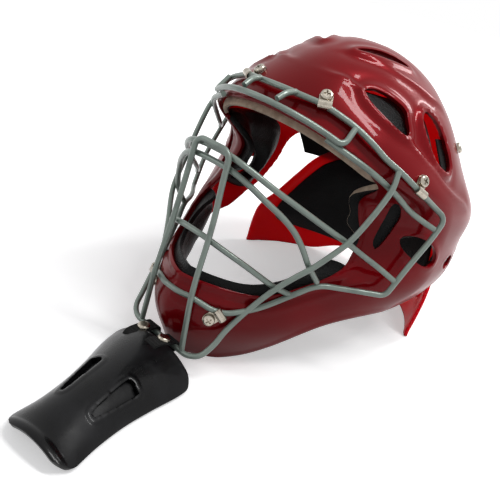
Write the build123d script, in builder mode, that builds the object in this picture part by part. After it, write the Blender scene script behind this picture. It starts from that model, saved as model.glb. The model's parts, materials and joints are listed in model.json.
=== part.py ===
from build123d import *
import os
from math import asin, atan2, copysign, cos, exp, log, pi, radians, sin, sqrt, tan

os.makedirs("parts", exist_ok=True)

# Baseball catcher helmet standing on its chin and on its nape plate.
# X runs to the wearer's left, Y to the back of the head, Z up, in millimetres.
# The origin is the middle of the chin's flat foot, on the floor and in the head's mid plane.

# The head leans back while the helmet stands, and all places on it are given on the head plane:
# across to the wearer's left, along to the back, and up from the ear line.
head_tilt = 7.0
overrun = 60.0

# Front shell
shell_half_width = 112.0
shell_reach = 138.0
crown_height = 91.0
widest_drop = 79.0
shell_wall = 3.2
ear_setback = 5.0
temple_swell = 5.0
hollow_depth = 78.0
hollow_shift = 12.0
chin_swell = 10.0
front_power_share = 1.3
front_round_share = 0.7
jaw_round_share = 0.42
back_power_share = 2.2

# Where the shell's front view and side view change: levels and spans as shares of face_height,
# slopes as slopes of the wall
temple_level_share, temple_span_share = 0.02, 0.24
chin_level_share, chin_span_share = -1.16, 0.24
hollow_top_share, hollow_foot_share, hollow_span_share = 0.045, -0.615, 0.065
jaw_taper_share, jaw_slope_share = -0.62, 0.68
neck_level_share, neck_slope_share, taper_span_share = -0.80, 0.75, 0.08
brow_round_share, brow_round_span_share = -0.58, 0.06
chin_round_level_share, chin_round_span_share = -0.94, 0.10

# Cage
cage_inset = 12.0
cage_setback = 38.0
face_height = 100.0
wire_diameter = 4.0
tight_bend = 7.0
wire_stand_off = 3.2

# Clips, screws and nuts
clip_reach = 8.5
clip_width = 9.0
clip_sheet = 1.0
seat_gap = 0.15
running_gap = 0.05
screw_diameter = 3.9
screw_head_diameter = 8.4
screw_head_height = 2.6
recess_width = 1.1
recess_depth = 1.3
nut_barrel_diameter = 5.8
nut_flange_diameter = 10.0
nut_flange_height = 1.0
nut_seat_gap = 1.05
thread_clearance = 0.03

# Pads
pad_gap = 0.5
pad_hem = 3.0
brow_pad_thickness = 10.0
side_pad_thickness = 13.0
jaw_pad_thickness = 9.0
crown_pad_thickness = 11.0
nape_pad_thickness = 11.0
nape_flute_depth = 1.2

# Nape plate, which slides along the head to fit it
nape_half_width = 106.0
nape_reach = 128.0
nape_rise = 210.0
nape_wall = 3.0

# Elastic straps
strap_width = 34.0
strap_thickness = 1.3
strap_gap = 0.3

# Throat guard, which hangs on the chin wire
guard_skew = 14.0
guard_shift = 6.0
guard_length = 110.0
guard_top_width = 70.0
guard_top_height = 17.0
guard_wall = 3.0
guard_stand_off = 6.5
guard_slot_length = 38.0
guard_slot_width = 4.0
guard_strap_width = 11.0
guard_strap_thickness = 1.6
guard_strap_spacing = 20.0
wire_loop_radius = 2.5
edge_loop_radius = 4.2
snap_diameter = 9.0
snap_height = 2.4

cage_half_width = shell_half_width - cage_inset
cage_reach = shell_reach - cage_setback
dome_rise = crown_height + widest_drop
wire_radius = wire_diameter / 2

# Places on the face, as shares of cage_half_width, cage_reach and face_height.
chin_foot_share = (-1.18, -1.485)


def ramp(value):
    """A smooth step from zero to one."""
    return 1 / (1 + exp(-value))


def soft(value):
    """A smooth ramp that starts at zero."""
    return log(1 + exp(value))


def bell(value, middle, span):
    """A smooth hump of height one."""
    return exp(-(((value - middle) / span) ** 2))


def shell_section(level, inset=0.0, depth=0.0):
    """Half width, middle, front and back reach and front power of the shell at a level."""
    grown = (level + widest_drop) / (1 - inset / dome_rise)
    level = grown - widest_drop
    height_share = level / face_height
    round_share = sqrt(max(0, 1 - (grown / dome_rise) ** 2))
    taper_span = taper_span_share * face_height
    half_width = shell_half_width * round_share
    half_width += temple_swell * bell(height_share, temple_level_share, temple_span_share)
    half_width -= jaw_slope_share * taper_span * soft(
        (jaw_taper_share - height_share) / taper_span_share
    )
    hollow = ramp((hollow_top_share - height_share) / hollow_span_share)
    hollow *= ramp((height_share - hollow_foot_share) / hollow_span_share)
    middle = ear_setback + hollow_shift * hollow
    middle -= neck_slope_share * taper_span * soft(
        (neck_level_share - height_share) / taper_span_share
    )
    chin = chin_swell * bell(height_share, chin_level_share, chin_span_share)
    front = ear_setback - shell_reach * round_share - chin + hollow_depth * hollow
    back = ear_setback + shell_reach * round_share
    power = front_power_share
    power += front_round_share * ramp((height_share - brow_round_share) / brow_round_span_share)
    power += jaw_round_share * ramp(
        (chin_round_level_share - height_share) / chin_round_span_share
    )
    inward = inset + depth
    return half_width - inward, middle, middle - front - inward, back - middle - inward, power


def shell_point(level, angle, inset=0.0, depth=0.0):
    """A point of the shell at a level, by its angle from the front round to the left."""
    half_width, middle, front, back, power = shell_section(level, inset, depth)
    reach = front if cos(angle) >= 0 else back
    power = power if cos(angle) >= 0 else back_power_share
    across = half_width * copysign(abs(sin(angle)) ** (2 / power), sin(angle))
    along = middle - reach * copysign(abs(cos(angle)) ** (2 / power), cos(angle))
    return across, along


# The chin's foot is the cut end of the shell's wall, which stands on the floor.
chin_foot_level = chin_foot_share[1] * face_height
lean, upright = sin(radians(head_tilt)), cos(radians(head_tilt))
chin_foot_along = shell_point(chin_foot_level, 0, shell_wall / 2)[1]
head = Plane(
    origin=(
        0,
        -chin_foot_along * upright - chin_foot_level * lean,
        chin_foot_share[0] * cage_reach * lean - chin_foot_level * upright,
    ),
    x_dir=(1, 0, 0),
    z_dir=(0, lean, upright),
)
side = Plane(origin=head.origin, x_dir=head.y_dir, z_dir=head.x_dir)


def place(across, along, up):
    """A point on the head, from its shares of the cage's sizes."""
    return head.from_local_coords(
        Vector(across * cage_half_width, along * cage_reach, up * face_height)
    )


def nape_point(level, angle, inset=0.0, depth=0.0):
    """A point of the nape plate at a level, by its angle from the front round to the left."""
    round_share = sqrt(1 - ((level + 0.85 * face_height) / nape_rise) ** 2)
    half_width = nape_half_width * round_share - inset - depth
    reach = nape_reach * round_share - inset - depth
    across = half_width * copysign(abs(sin(angle)) ** (2 / back_power_share), sin(angle))
    along = ear_setback - reach * copysign(
        abs(cos(angle)) ** (2 / back_power_share), cos(angle)
    )
    return across, along


ring_steps = 44


def ring_face(level, inset=0.0, point=shell_point):
    """The closed section of a head form at a level."""
    turns = [2 * pi * step / ring_steps for step in range(ring_steps)]
    with BuildSketch(head.offset(level)) as ring:
        with BuildLine():
            Spline(*[point(level, turn, inset) for turn in turns], periodic=True)
        make_face()
    return ring.sketch


def band_face(level, outer, inner, start, end, steps=16):
    """The section of a pad or strap at a level, between two point functions of the angle."""
    turns = [start + (end - start) * step / steps for step in range(steps + 1)]
    outside = [outer(turn) for turn in turns]
    inside = [inner(turn) for turn in reversed(turns)]
    with BuildSketch(head.offset(level)) as band:
        with BuildLine():
            Spline(*outside)
            Line(outside[-1], inside[0])
            Spline(*inside)
            Line(inside[-1], outside[0])
        make_face()
    return band.sketch


def side_face(points, smooth=()):
    """A closed outline seen from the side, smooth through one run of its points."""
    run = [Vector(along * cage_reach, up * face_height) for along, up in smooth]
    corners = [Vector(along * cage_reach, up * face_height) for along, up in points]
    with BuildSketch(side) as outline:
        with BuildLine():
            if run:
                Spline(*run)
                Polyline(run[-1], *corners, run[0])
            else:
                Polyline(*corners, close=True)
        make_face()
    return outline.sketch


def round_side_face(points):
    """A closed smooth outline seen from the side."""
    with BuildSketch(side) as outline:
        with BuildLine():
            Spline(
                *[Vector(along * cage_reach, up * face_height) for along, up in points],
                periodic=True,
            )
        make_face()
    return outline.sketch


side_span = shell_half_width + overrun

# The face opening, the lower rim and the nape plate, as shares of cage_reach and face_height.
opening_shares = [
    (-1.04, 0.34), (-0.72, 0.18), (-0.58, 0.09), (-0.46, 0.04), (-0.36, -0.01),
    (-0.30, -0.07), (-0.28, -0.16), (-0.29, -0.27), (-0.33, -0.38), (-0.41, -0.51),
    (-0.51, -0.59), (-0.66, -0.68), (-0.78, -0.75), (-0.90, -0.82), (-1.06, -0.87),
    (-1.45, -0.86),
]
opening_outer_shares = [(-2.2, -0.86), (-2.2, 0.42), (-1.45, 0.42)]
rim_shares = [
    (-1.30, -1.60), (-1.16, -1.46), (-0.94, -1.27), (-0.73, -1.14), (-0.50, -1.08),
    (-0.29, -1.05), (-0.12, -1.00), (0.0, -0.94), (0.17, -0.87), (0.38, -0.75),
    (0.54, -0.66), (0.66, -0.54), (0.73, -0.38), (0.77, -0.20), (0.84, -0.07),
    (0.98, 0.0), (1.25, 0.04), (1.75, 0.06),
]
rim_outer_shares = [(1.75, -2.4), (-1.30, -2.4)]
nape_shares = [
    (1.60, -0.05), (1.18, -0.09), (1.07, -0.14), (0.98, -0.28), (0.90, -0.48),
    (0.79, -0.70), (0.68, -0.84), (0.63, -1.00), (0.61, -1.50),
]
nape_outer_shares = [(1.60, -1.50)]

shell_level_shares = [
    -1.62, -1.50, -1.38, -1.26, -1.15, -1.04, -0.94, -0.85, -0.77, -0.70, -0.64, -0.58,
    -0.52, -0.46, -0.38, -0.28, -0.18, -0.09, -0.03, 0.03, 0.09, 0.16, 0.26, 0.38, 0.50,
    0.61, 0.70, 0.78, 0.84, 0.88, 0.90,
]
crown_tip = 0.55


def shell_levels(inset):
    """The levels of the shell's sections, up to a small flat just under the crown."""
    top = crown_height - inset
    levels = [share * face_height for share in shell_level_shares]
    return [level for level in levels if level < top - 3 * crown_tip] + [top - crown_tip]


def surface_plane(turn, up, toward):
    """A plane on the shell at an angle and height, its x_dir towards another place."""
    level = up * face_height
    turn_step = radians(seat_probe)

    def spot(turn, level):
        return head.from_local_coords(Vector(*shell_point(level, turn), level))

    point = spot(turn, level)
    normal = (spot(turn + turn_step, level) - spot(turn - turn_step, level)).cross(
        spot(turn, level + seat_probe) - spot(turn, level - seat_probe)
    )
    aim = place(*toward) - point
    normal = normal.normalized()
    return Plane(origin=point, x_dir=aim - normal * aim.dot(normal), z_dir=normal)


seat_probe = 0.5

# Each cage screw: its angle from the front, its height and the wire place that its clip holds
cage_fixings = [
    (23.0, 0.49, (0.34, -0.85, 0.43)),
    (70.0, 0.16, (0.90, -0.32, 0.09)),
    (25.4, -1.09, (0.325, -1.18, -1.00)),
]
left_seats = [
    surface_plane(radians(turn), up, wire) for turn, up, wire in cage_fixings
]
right_seats = [
    surface_plane(-radians(turn), up, (-wire[0], wire[1], wire[2]))
    for turn, up, wire in cage_fixings
]
cage_seats = left_seats + right_seats
side_strap_turn, side_strap_up = 114.0, 0.37
top_strap_up = 0.42
strap_seats = [
    surface_plane(radians(turn), up, (0.0, 2.0, -1.0))
    for turn, up in (
        (side_strap_turn, side_strap_up), (-side_strap_turn, side_strap_up), (180.0, top_strap_up)
    )
]

# Air vents, as places on the shell
front_vent = [
    (0.41, -0.55, 0.61), (0.46, -0.46, 0.63), (0.60, -0.32, 0.57), (0.66, -0.31, 0.51),
    (0.73, -0.34, 0.42), (0.63, -0.48, 0.46), (0.48, -0.57, 0.54),
]
side_vent = [
    (0.66, -0.11, 0.57), (0.68, -0.03, 0.55), (0.74, 0.06, 0.48), (0.86, 0.13, 0.31),
    (0.92, 0.09, 0.23), (0.88, -0.06, 0.29), (0.79, -0.14, 0.40), (0.70, -0.16, 0.51),
]
top_vent = [
    (0.14, -0.37, 0.82), (0.20, -0.34, 0.83), (0.31, -0.21, 0.83), (0.38, -0.04, 0.81),
    (0.32, -0.06, 0.83), (0.21, -0.21, 0.85),
]
vent_depth = 22.0
ear_hole_shares = [
    (-0.20, -0.27), (-0.12, -0.24), (0.0, -0.27), (0.09, -0.35), (0.10, -0.42),
    (0.02, -0.45), (-0.10, -0.41), (-0.19, -0.34),
]
rear_slot_shares = [
    (0.32, -0.43), (0.41, -0.39), (0.51, -0.43), (0.51, -0.49), (0.42, -0.51), (0.33, -0.48),
]


def vent_cutter(points):
    """A rounded prism through the shell whose outline passes through the given places."""
    corners = [place(*point) for point in points]
    centre = sum(corners, Vector(0, 0, 0)) / len(corners)
    normal = Vector(0, 0, 0)
    for corner, after in zip(corners, corners[1:] + corners[:1]):
        normal += (corner - centre).cross(after - centre)
    vent_plane = Plane(origin=centre, z_dir=normal)
    flat = [vent_plane.to_local_coords(corner) for corner in corners]
    with BuildPart() as cutter:
        with BuildSketch(vent_plane):
            with BuildLine():
                Spline(*[(corner.X, corner.Y) for corner in flat], periodic=True)
            make_face()
        extrude(amount=vent_depth, both=True)
    return cutter.part


vent_cutters = [vent_cutter(points) for points in (front_vent, side_vent, top_vent)]
vent_cutters += [mirror(cutter, about=Plane.YZ) for cutter in vent_cutters]

with BuildPart() as ear_cutter:
    for shares in (ear_hole_shares, rear_slot_shares):
        extrude(round_side_face(shares), amount=side_span, both=True)


def seat_hole(seat_plane, diameter):
    """A round cutter through the shell at a screw's seat."""
    with BuildPart() as cutter:
        with BuildSketch(seat_plane):
            Circle(diameter / 2 + seat_gap)
        extrude(amount=2 * shell_wall, both=True)
    return cutter.part


with BuildPart() as front_shell:
    loft([ring_face(level) for level in shell_levels(0)])
    loft([ring_face(level, shell_wall) for level in shell_levels(shell_wall)], mode=Mode.SUBTRACT)
    extrude(
        side_face(opening_outer_shares, opening_shares),
        amount=side_span, both=True, mode=Mode.SUBTRACT,
    )
    extrude(
        side_face(rim_outer_shares, rim_shares),
        amount=side_span, both=True, mode=Mode.SUBTRACT,
    )
    with BuildSketch(Plane.XY):
        Rectangle(4 * side_span, 4 * side_span)
    extrude(amount=-side_span, mode=Mode.SUBTRACT)
    add(vent_cutters + [ear_cutter.part], mode=Mode.SUBTRACT)
    add(
        [seat_hole(plane, nut_barrel_diameter) for plane in cage_seats]
        + [seat_hole(plane, screw_diameter) for plane in strap_seats],
        mode=Mode.SUBTRACT,
    )
front_shell.part.label = "front_shell"
export_step(front_shell.part, "parts/front_shell.step")


# Cage wires. Each list starts at the middle of the face and ends on the wearer's left.
def mirrored(points):
    """A list of places on the left, led in by their mirror places on the right."""
    return [(-across, along, up) for across, along, up in reversed(points)] + list(points)


def bend_radii(corners, tight=()):
    """The bend at each corner of a wire: as large as its runs allow, or a tight one."""
    radii = []
    for index in range(1, len(corners) - 1):
        before = corners[index] - corners[index - 1]
        after = corners[index + 1] - corners[index]
        turn = radians(before.get_angle(after))
        largest = 0.45 * min(before.length, after.length) / tan(turn / 2)
        radii.append(min(largest, tight_bend) if index in tight else largest)
    return radii


def wire_part(corners, tight=()):
    """A round wire along a run of corners."""
    with BuildPart() as wire:
        with BuildLine() as path:
            FilletPolyline(*corners, radius=bend_radii(corners, tight))
        with BuildSketch(Plane(origin=path.line @ 0, z_dir=path.line % 0)):
            Circle(wire_radius)
        sweep(path=path.line)
    return wire.part


def clip_wire_point(seat_plane):
    """Where the wire passes in the clip on a seat."""
    return seat_plane.from_local_coords(Vector(clip_reach, 0, wire_stand_off))


forehead_left, temple_left, chin_left = [clip_wire_point(plane) for plane in left_seats]
forehead_right, temple_right, chin_right = [clip_wire_point(plane) for plane in right_seats]

brow_run = [(0.535, -0.755, 0.388), (0.66, -0.69, 0.325), (0.755, -0.595, 0.245),
            (0.83, -0.505, 0.20)]
cheek_run = [(1.01, -0.145, 0.008), (1.085, -0.06, -0.05), (1.078, -0.135, -0.20),
             (1.05, -0.25, -0.40), (1.005, -0.335, -0.665), (0.835, -0.51, -0.685),
             (0.69, -0.74, -0.685), (0.60, -0.86, -0.795), (0.479, -1.04, -0.945)]
nose_run = [(0.16, -1.355, -0.97)]
top_run = [(0.09, -0.938, 0.463), (0.20, -0.905, 0.456)]
foot_run = [(0.07, -1.395, -0.969), (0.0, -1.395, -0.969)]


def perimeter_half(hand, clips):
    """Half of the perimeter wire, from the middle of the brow to the middle of the chin."""

    def run(points):
        return [place(hand * across, along, up) for across, along, up in points]

    forehead, temple, chin = clips
    corners = [place(0, -0.938, 0.463)] + run(top_run) + [forehead] + run(brow_run)
    corners += [temple] + run(cheek_run) + [chin] + run(nose_run) + run(foot_run)
    return wire_part(corners, tight={10, 13})


perimeter_wire = Compound(children=[
    perimeter_half(1, (forehead_left, temple_left, chin_left)),
    perimeter_half(-1, (forehead_right, temple_right, chin_right)),
])
perimeter_wire.label = "perimeter_wire"
export_step(perimeter_wire, "parts/perimeter_wire.step")

brow_loop_run = [(0.09, -1.117, 0.375), (0.23, -1.075, 0.36), (0.37, -1.0, 0.332),
                 (0.49, -0.925, 0.295), (0.575, -0.865, 0.262), (0.562, -0.772, 0.375)]
brow_loop = wire_part([place(*point) for point in mirrored(brow_loop_run)], tight={1, 10})
brow_loop.label = "brow_loop"
export_step(brow_loop, "parts/brow_loop.step")

brow_side_run = [(0.46, -0.90, 0.265), (0.56, -0.835, 0.228), (0.664, -0.765, 0.19),
                 (0.744, -0.67, 0.145), (0.81, -0.565, 0.09), (0.87, -0.455, 0.028),
                 (0.928, -0.33, -0.05), (0.985, -0.235, -0.092), (1.068, -0.14, -0.132)]
brow_strut_run = [(0.155, -0.94, 0.466), (0.15, -1.02, 0.452), (0.142, -1.09, 0.402)]
side_bar_run = [(0.832, -0.527, 0.20), (0.862, -0.57, 0.09), (0.85, -0.625, -0.04),
                (0.825, -0.69, -0.19), (0.795, -0.745, -0.313), (0.745, -0.83, -0.43),
                (0.69, -0.91, -0.54), (0.625, -0.965, -0.63), (0.56, -1.005, -0.73),
                (0.505, -1.045, -0.83), (0.452, -1.09, -0.945), (0.417, -1.15, -1.05),
                (0.395, -1.205, -1.14), (0.382, -1.25, -1.24), (0.352, -1.32, -1.335),
                (0.27, -1.36, -1.37)]
centre_loop_run = [(0.15, -1.38, 0.043), (0.155, -1.376, -0.18), (0.166, -1.37, -0.36),
                   (0.173, -1.372, -0.555), (0.18, -1.388, -0.81), (0.189, -1.392, -0.97),
                   (0.202, -1.375, -1.18), (0.214, -1.362, -1.352)]
upper_eye_run = [(0.10, -1.343, 0.015), (0.22, -1.335, -0.003), (0.31, -1.28, -0.04),
                 (0.41, -1.18, -0.10), (0.52, -1.04, -0.17), (0.645, -0.872, -0.255),
                 (0.765, -0.70, -0.335), (0.845, -0.56, -0.41), (0.93, -0.43, -0.475),
                 (1.018, -0.325, -0.54)]
lower_eye_run = [(0.09, -1.34, -0.065), (0.19, -1.335, -0.075), (0.29, -1.29, -0.115),
                 (0.385, -1.215, -0.18), (0.485, -1.12, -0.25), (0.56, -1.035, -0.33),
                 (0.615, -0.965, -0.43), (0.65, -0.895, -0.535), (0.682, -0.755, -0.665)]
mouth_run = [(0.10, -1.345, -0.545), (0.18, -1.325, -0.56), (0.27, -1.26, -0.60),
             (0.36, -1.18, -0.645), (0.515, -0.995, -0.755), (0.585, -0.87, -0.80)]


def wire_pair(run, tight=()):
    """The same wire on the wearer's left and right."""
    left = wire_part([place(*point) for point in run], tight=tight)
    right = wire_part([place(-across, along, up) for across, along, up in run], tight=tight)
    return Compound(children=[left, right])


cage_wires = {
    "brow_side_bars": wire_pair(brow_side_run),
    "brow_struts": wire_pair(brow_strut_run),
    "chin_loop": wire_part([place(*point) for point in mirrored(side_bar_run[::-1])]),
    "centre_loop": wire_part([place(*point) for point in mirrored(centre_loop_run)],
                             tight={7, 8}),
    "upper_eye_bar": wire_part([place(*point) for point in mirrored(upper_eye_run)]),
    "lower_eye_bar": wire_part([place(*point) for point in mirrored(lower_eye_run)]),
    "mouth_bar": wire_part([place(*point) for point in mirrored(mouth_run)]),
}
for name, wires in cage_wires.items():
    wires.label = name
    export_step(wires, f"parts/{name}.step")


# Clips, cage screws and tee nuts
def clip(seat_plane):
    """A sheet clip: a sleeve round the wire and a tab under the screw."""
    sleeve_radius = wire_radius + running_gap + clip_sheet
    top = seat_gap + clip_sheet
    sleeve_plane = Plane(
        origin=clip_wire_point(seat_plane), x_dir=seat_plane.x_dir, z_dir=seat_plane.y_dir
    )
    with BuildPart() as body:
        with BuildSketch(seat_plane.offset(seat_gap)):
            with Locations((clip_reach / 2, 0)):
                Rectangle(clip_reach, clip_width)
            Circle(clip_width / 2)
        extrude(amount=clip_sheet)
        with BuildSketch(sleeve_plane):
            Circle(sleeve_radius)
        extrude(amount=clip_width / 2, both=True)
        with BuildSketch(sleeve_plane):
            Circle(wire_radius + running_gap)
        extrude(amount=clip_width, both=True, mode=Mode.SUBTRACT)
        with Locations(seat_plane.offset(top)):
            Hole(radius=screw_diameter / 2 + seat_gap, depth=2 * top)
    return body.part


def cross_screw(seat_plane, lift, reach):
    """A pan head screw with a cross recess, its head's underside lifted off the seat."""
    head_plane = seat_plane.offset(lift)
    with BuildPart() as screw:
        with BuildSketch(head_plane):
            Circle(screw_head_diameter / 2)
        extrude(amount=screw_head_height)
        fillet(screw.edges().sort_by(Axis(head_plane.origin, head_plane.z_dir))[-1],
               radius=0.6 * screw_head_height)
        with BuildSketch(head_plane.offset(screw_head_height)):
            Rectangle(0.55 * screw_head_diameter, recess_width)
            Rectangle(recess_width, 0.55 * screw_head_diameter)
        extrude(amount=-recess_depth, mode=Mode.SUBTRACT)
        with BuildSketch(head_plane):
            Circle(screw_diameter / 2)
        extrude(amount=-reach)
    return screw.part


def tee_nut(seat_plane):
    """A flanged nut whose barrel stands in the shell's hole."""
    flange_plane = seat_plane.offset(-shell_wall - nut_seat_gap)
    with BuildPart() as nut:
        with BuildSketch(flange_plane):
            Circle(nut_flange_diameter / 2)
        extrude(amount=-nut_flange_height)
        with BuildSketch(flange_plane):
            Circle(nut_barrel_diameter / 2)
        extrude(amount=shell_wall)
        with Locations(flange_plane.offset(shell_wall)):
            Hole(radius=screw_diameter / 2 + thread_clearance, depth=2 * shell_wall)
    return nut.part


screw_reach = seat_gap + clip_sheet + shell_wall + nut_seat_gap + nut_flange_height
fasteners = {
    "forehead_clips": [clip(left_seats[0]), clip(right_seats[0])],
    "temple_clips": [clip(left_seats[1]), clip(right_seats[1])],
    "chin_clips": [clip(left_seats[2]), clip(right_seats[2])],
    "cage_screws": [
        cross_screw(plane, 2 * seat_gap + clip_sheet, screw_reach) for plane in cage_seats
    ],
    "tee_nuts": [tee_nut(plane) for plane in cage_seats],
    "strap_screws": [
        cross_screw(plane, 2 * seat_gap, shell_wall + seat_gap) for plane in strap_seats
    ],
}
for name, solids in fasteners.items():
    group = Compound(children=solids)
    group.label = name
    export_step(group, f"parts/{name}.step")


# Pads
def pad_form(low_share, high_share, thickness, half_turn, flutes=0, centre=0.0,
             point=shell_point, inset=shell_wall + pad_gap):
    """A crowned pad that follows the shell's inner side over a range of levels and angles."""
    low, high = low_share * face_height, high_share * face_height
    levels = [share * face_height for share in shell_level_shares
              if low_share <= share <= high_share]
    faces = []
    for level in levels:
        rise = (2 * level - low - high) / (high - low)

        def inner(turn, level=level, rise=rise):
            swing = (turn - centre) / half_turn
            crown = (1 - abs(rise) ** 3) * (1 - abs(swing) ** 4)
            depth = pad_hem + (thickness - pad_hem) * crown
            depth -= nape_flute_depth * crown * (1 - cos(2 * pi * flutes * swing)) / 2
            return point(level, turn, inset, depth)

        faces.append(
            band_face(
                level, lambda turn, level=level: point(level, turn, inset), inner,
                centre - half_turn, centre + half_turn, 16 + 12 * flutes,
            )
        )
    return faces


def nut_pockets(part_planes):
    """Room for the tee nuts behind a pad."""
    depth = shell_wall + nut_seat_gap + nut_flange_height + pad_gap
    with BuildPart() as pockets:
        for plane in part_planes:
            with BuildSketch(plane):
                Circle(nut_flange_diameter / 2 + pad_gap)
            extrude(amount=-depth)
    return pockets.part


brow_pad_shares = [
    (-1.30, 0.29), (-1.04, 0.265), (-0.72, 0.10), (-0.58, 0.01), (-0.47, -0.04),
    (-0.385, -0.06), (-0.31, 0.02), (-0.27, 0.15), (-0.34, 0.32), (-0.52, 0.50),
    (-0.78, 0.60), (-1.20, 0.62),
]
with BuildPart() as brow_pad:
    loft(pad_form(-0.10, 0.70, brow_pad_thickness, radians(88)))
    extrude(round_side_face(brow_pad_shares), amount=side_span, both=True, mode=Mode.INTERSECT)
    add(nut_pockets(cage_seats), mode=Mode.SUBTRACT)
brow_pad.part.label = "brow_pad"
export_step(brow_pad.part, "parts/brow_pad.step")

side_pad_shares = [
    (-0.33, -0.18), (-0.335, -0.30), (-0.37, -0.42), (-0.36, -0.54), (-0.20, -0.62),
    (0.10, -0.63), (0.36, -0.56), (0.54, -0.42), (0.60, -0.20), (0.52, -0.02),
    (0.30, 0.07), (0.0, 0.07), (-0.20, 0.02), (-0.29, -0.06),
]
pad_ear_shares = [
    (-0.17, -0.30), (0.0, -0.235), (0.24, -0.26), (0.36, -0.34), (0.34, -0.44), (0.10, -0.47),
    (-0.12, -0.44),
]
side_pads = {"side_pad_left": pi / 2, "side_pad_right": -pi / 2}
for name, centre in side_pads.items():
    with BuildPart() as side_pad:
        loft(pad_form(-0.70, 0.17, side_pad_thickness, radians(62), centre=centre))
        extrude(round_side_face(side_pad_shares), amount=side_span, both=True,
                mode=Mode.INTERSECT)
        extrude(round_side_face(pad_ear_shares), amount=side_span, both=True,
                mode=Mode.SUBTRACT)
        add(nut_pockets(cage_seats), mode=Mode.SUBTRACT)
    side_pad.part.label = name
    export_step(side_pad.part, f"parts/{name}.step")

jaw_pad_shares = [
    (-1.50, -0.80), (-1.20, -0.825), (-1.04, -0.82), (-0.90, -0.77), (-0.78, -0.70),
    (-0.66, -0.63), (-0.54, -0.565), (-0.44, -0.58), (-0.38, -0.72), (-0.42, -0.90),
    (-0.55, -1.02), (-0.78, -1.09), (-0.97, -1.22), (-1.20, -1.38), (-1.50, -1.40),
]
with BuildPart() as jaw_pad:
    loft(pad_form(-1.50, -0.46, jaw_pad_thickness, radians(86)))
    extrude(side_face(jaw_pad_shares), amount=side_span, both=True, mode=Mode.INTERSECT)
    add(nut_pockets(cage_seats), mode=Mode.SUBTRACT)
jaw_pad.part.label = "jaw_pad"
export_step(jaw_pad.part, "parts/jaw_pad.step")

# The crown pad is a cap under the dome, thinner towards its hem
crown_hem_share = 0.66
crown_pad_inset = shell_wall + pad_gap
crown_levels = [share * face_height for share in (crown_hem_share, 0.72, 0.78, 0.82, 0.85)]
with BuildPart() as crown_pad:
    loft([ring_face(level, crown_pad_inset) for level in crown_levels
          if level < crown_height - crown_pad_inset - 2 * crown_tip]
         + [ring_face(crown_height - crown_pad_inset - crown_tip, crown_pad_inset)])
    inner_crown = crown_pad_inset + crown_pad_thickness
    inner_levels = [0.50 * face_height, 0.58 * face_height, crown_hem_share * face_height]
    loft([ring_face(level, inner_crown) for level in inner_levels]
         + [ring_face(crown_height - inner_crown - share * crown_pad_thickness, inner_crown)
            for share in (0.4, 0.15, 0.05)], mode=Mode.SUBTRACT)
    for cutter in vent_cutters:
        add(cutter, mode=Mode.SUBTRACT)
crown_pad.part.label = "crown_pad"
export_step(crown_pad.part, "parts/crown_pad.step")


# Nape plate and its pad
nape_level_shares = [-1.50, -1.35, -1.20, -1.05, -0.90, -0.75, -0.60, -0.45, -0.30, -0.15, 0.0]
with BuildPart() as nape_plate:
    loft([ring_face(share * face_height, 0, nape_point) for share in nape_level_shares])
    loft([ring_face(share * face_height, nape_wall, nape_point)
          for share in [nape_level_shares[0] - 0.1] + nape_level_shares + [0.1]],
         mode=Mode.SUBTRACT)
    extrude(side_face(nape_outer_shares, nape_shares), amount=side_span, both=True,
            mode=Mode.INTERSECT)
    with BuildSketch(Plane.XY):
        Rectangle(4 * side_span, 4 * side_span)
    extrude(amount=-side_span, mode=Mode.SUBTRACT)
nape_plate.part.label = "nape_plate"
export_step(nape_plate.part, "parts/nape_plate.step")

nape_pad_shares = [
    (1.60, -0.13), (1.18, -0.16), (1.05, -0.26), (0.98, -0.42), (0.90, -0.62), (0.82, -0.80),
    (0.76, -0.96), (0.75, -1.12), (1.60, -1.12),
]
with BuildPart() as nape_pad:
    loft(pad_form(-1.15, -0.09, nape_pad_thickness, radians(74), 4, pi, nape_point,
                  nape_wall + pad_gap))
    extrude(side_face(nape_pad_shares), amount=side_span, both=True, mode=Mode.INTERSECT)
nape_pad.part.label = "nape_pad"
export_step(nape_pad.part, "parts/nape_pad.step")


# Elastic straps from under the shell down onto the nape plate
def turn_of(across, half_width):
    """The angle, from the back, of a place across the head."""
    share = copysign(min(abs(across) / half_width, 1) ** (back_power_share / 2), across)
    return pi - asin(share)


def strap_face(level, across, width):
    """The section of a strap at a level, under the shell or over the nape plate."""
    half_width = shell_section(level)[0]
    start = turn_of(across + width / 2, half_width)
    end = turn_of(across - width / 2, half_width)
    under_shell = shell_wall + 2 * strap_gap + strap_thickness
    over_plate = strap_gap + strap_thickness

    def outer(turn, extra=0.0):
        shell_side = shell_point(level, turn, under_shell - strap_thickness + extra)
        if level > strap_blend * face_height:
            return shell_side
        return nape_point(level, turn, extra - over_plate)

    return band_face(level, outer, lambda turn: outer(turn, strap_thickness), start, end, 8)


strap_blend = 0.02
side_strap_across = [0.78, 0.79, 0.785, 0.76, 0.715, 0.67]
side_strap_levels = [0.42, 0.30, 0.16, 0.06, -0.10, -0.24]
top_strap_levels = [0.50, 0.36, 0.20, 0.07, -0.09, -0.24]
straps = {
    "left_strap": [1] * 6,
    "right_strap": [-1] * 6,
    "top_strap": [0] * 6,
}
for name, hands in straps.items():
    levels = top_strap_levels if name == "top_strap" else side_strap_levels
    with BuildPart() as strap:
        loft([
            strap_face(level * face_height, hand * across * cage_half_width, strap_width)
            for level, across, hand in zip(levels, side_strap_across, hands)
        ])
    strap.part.label = name
    export_step(strap.part, f"parts/{name}.step")


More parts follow.
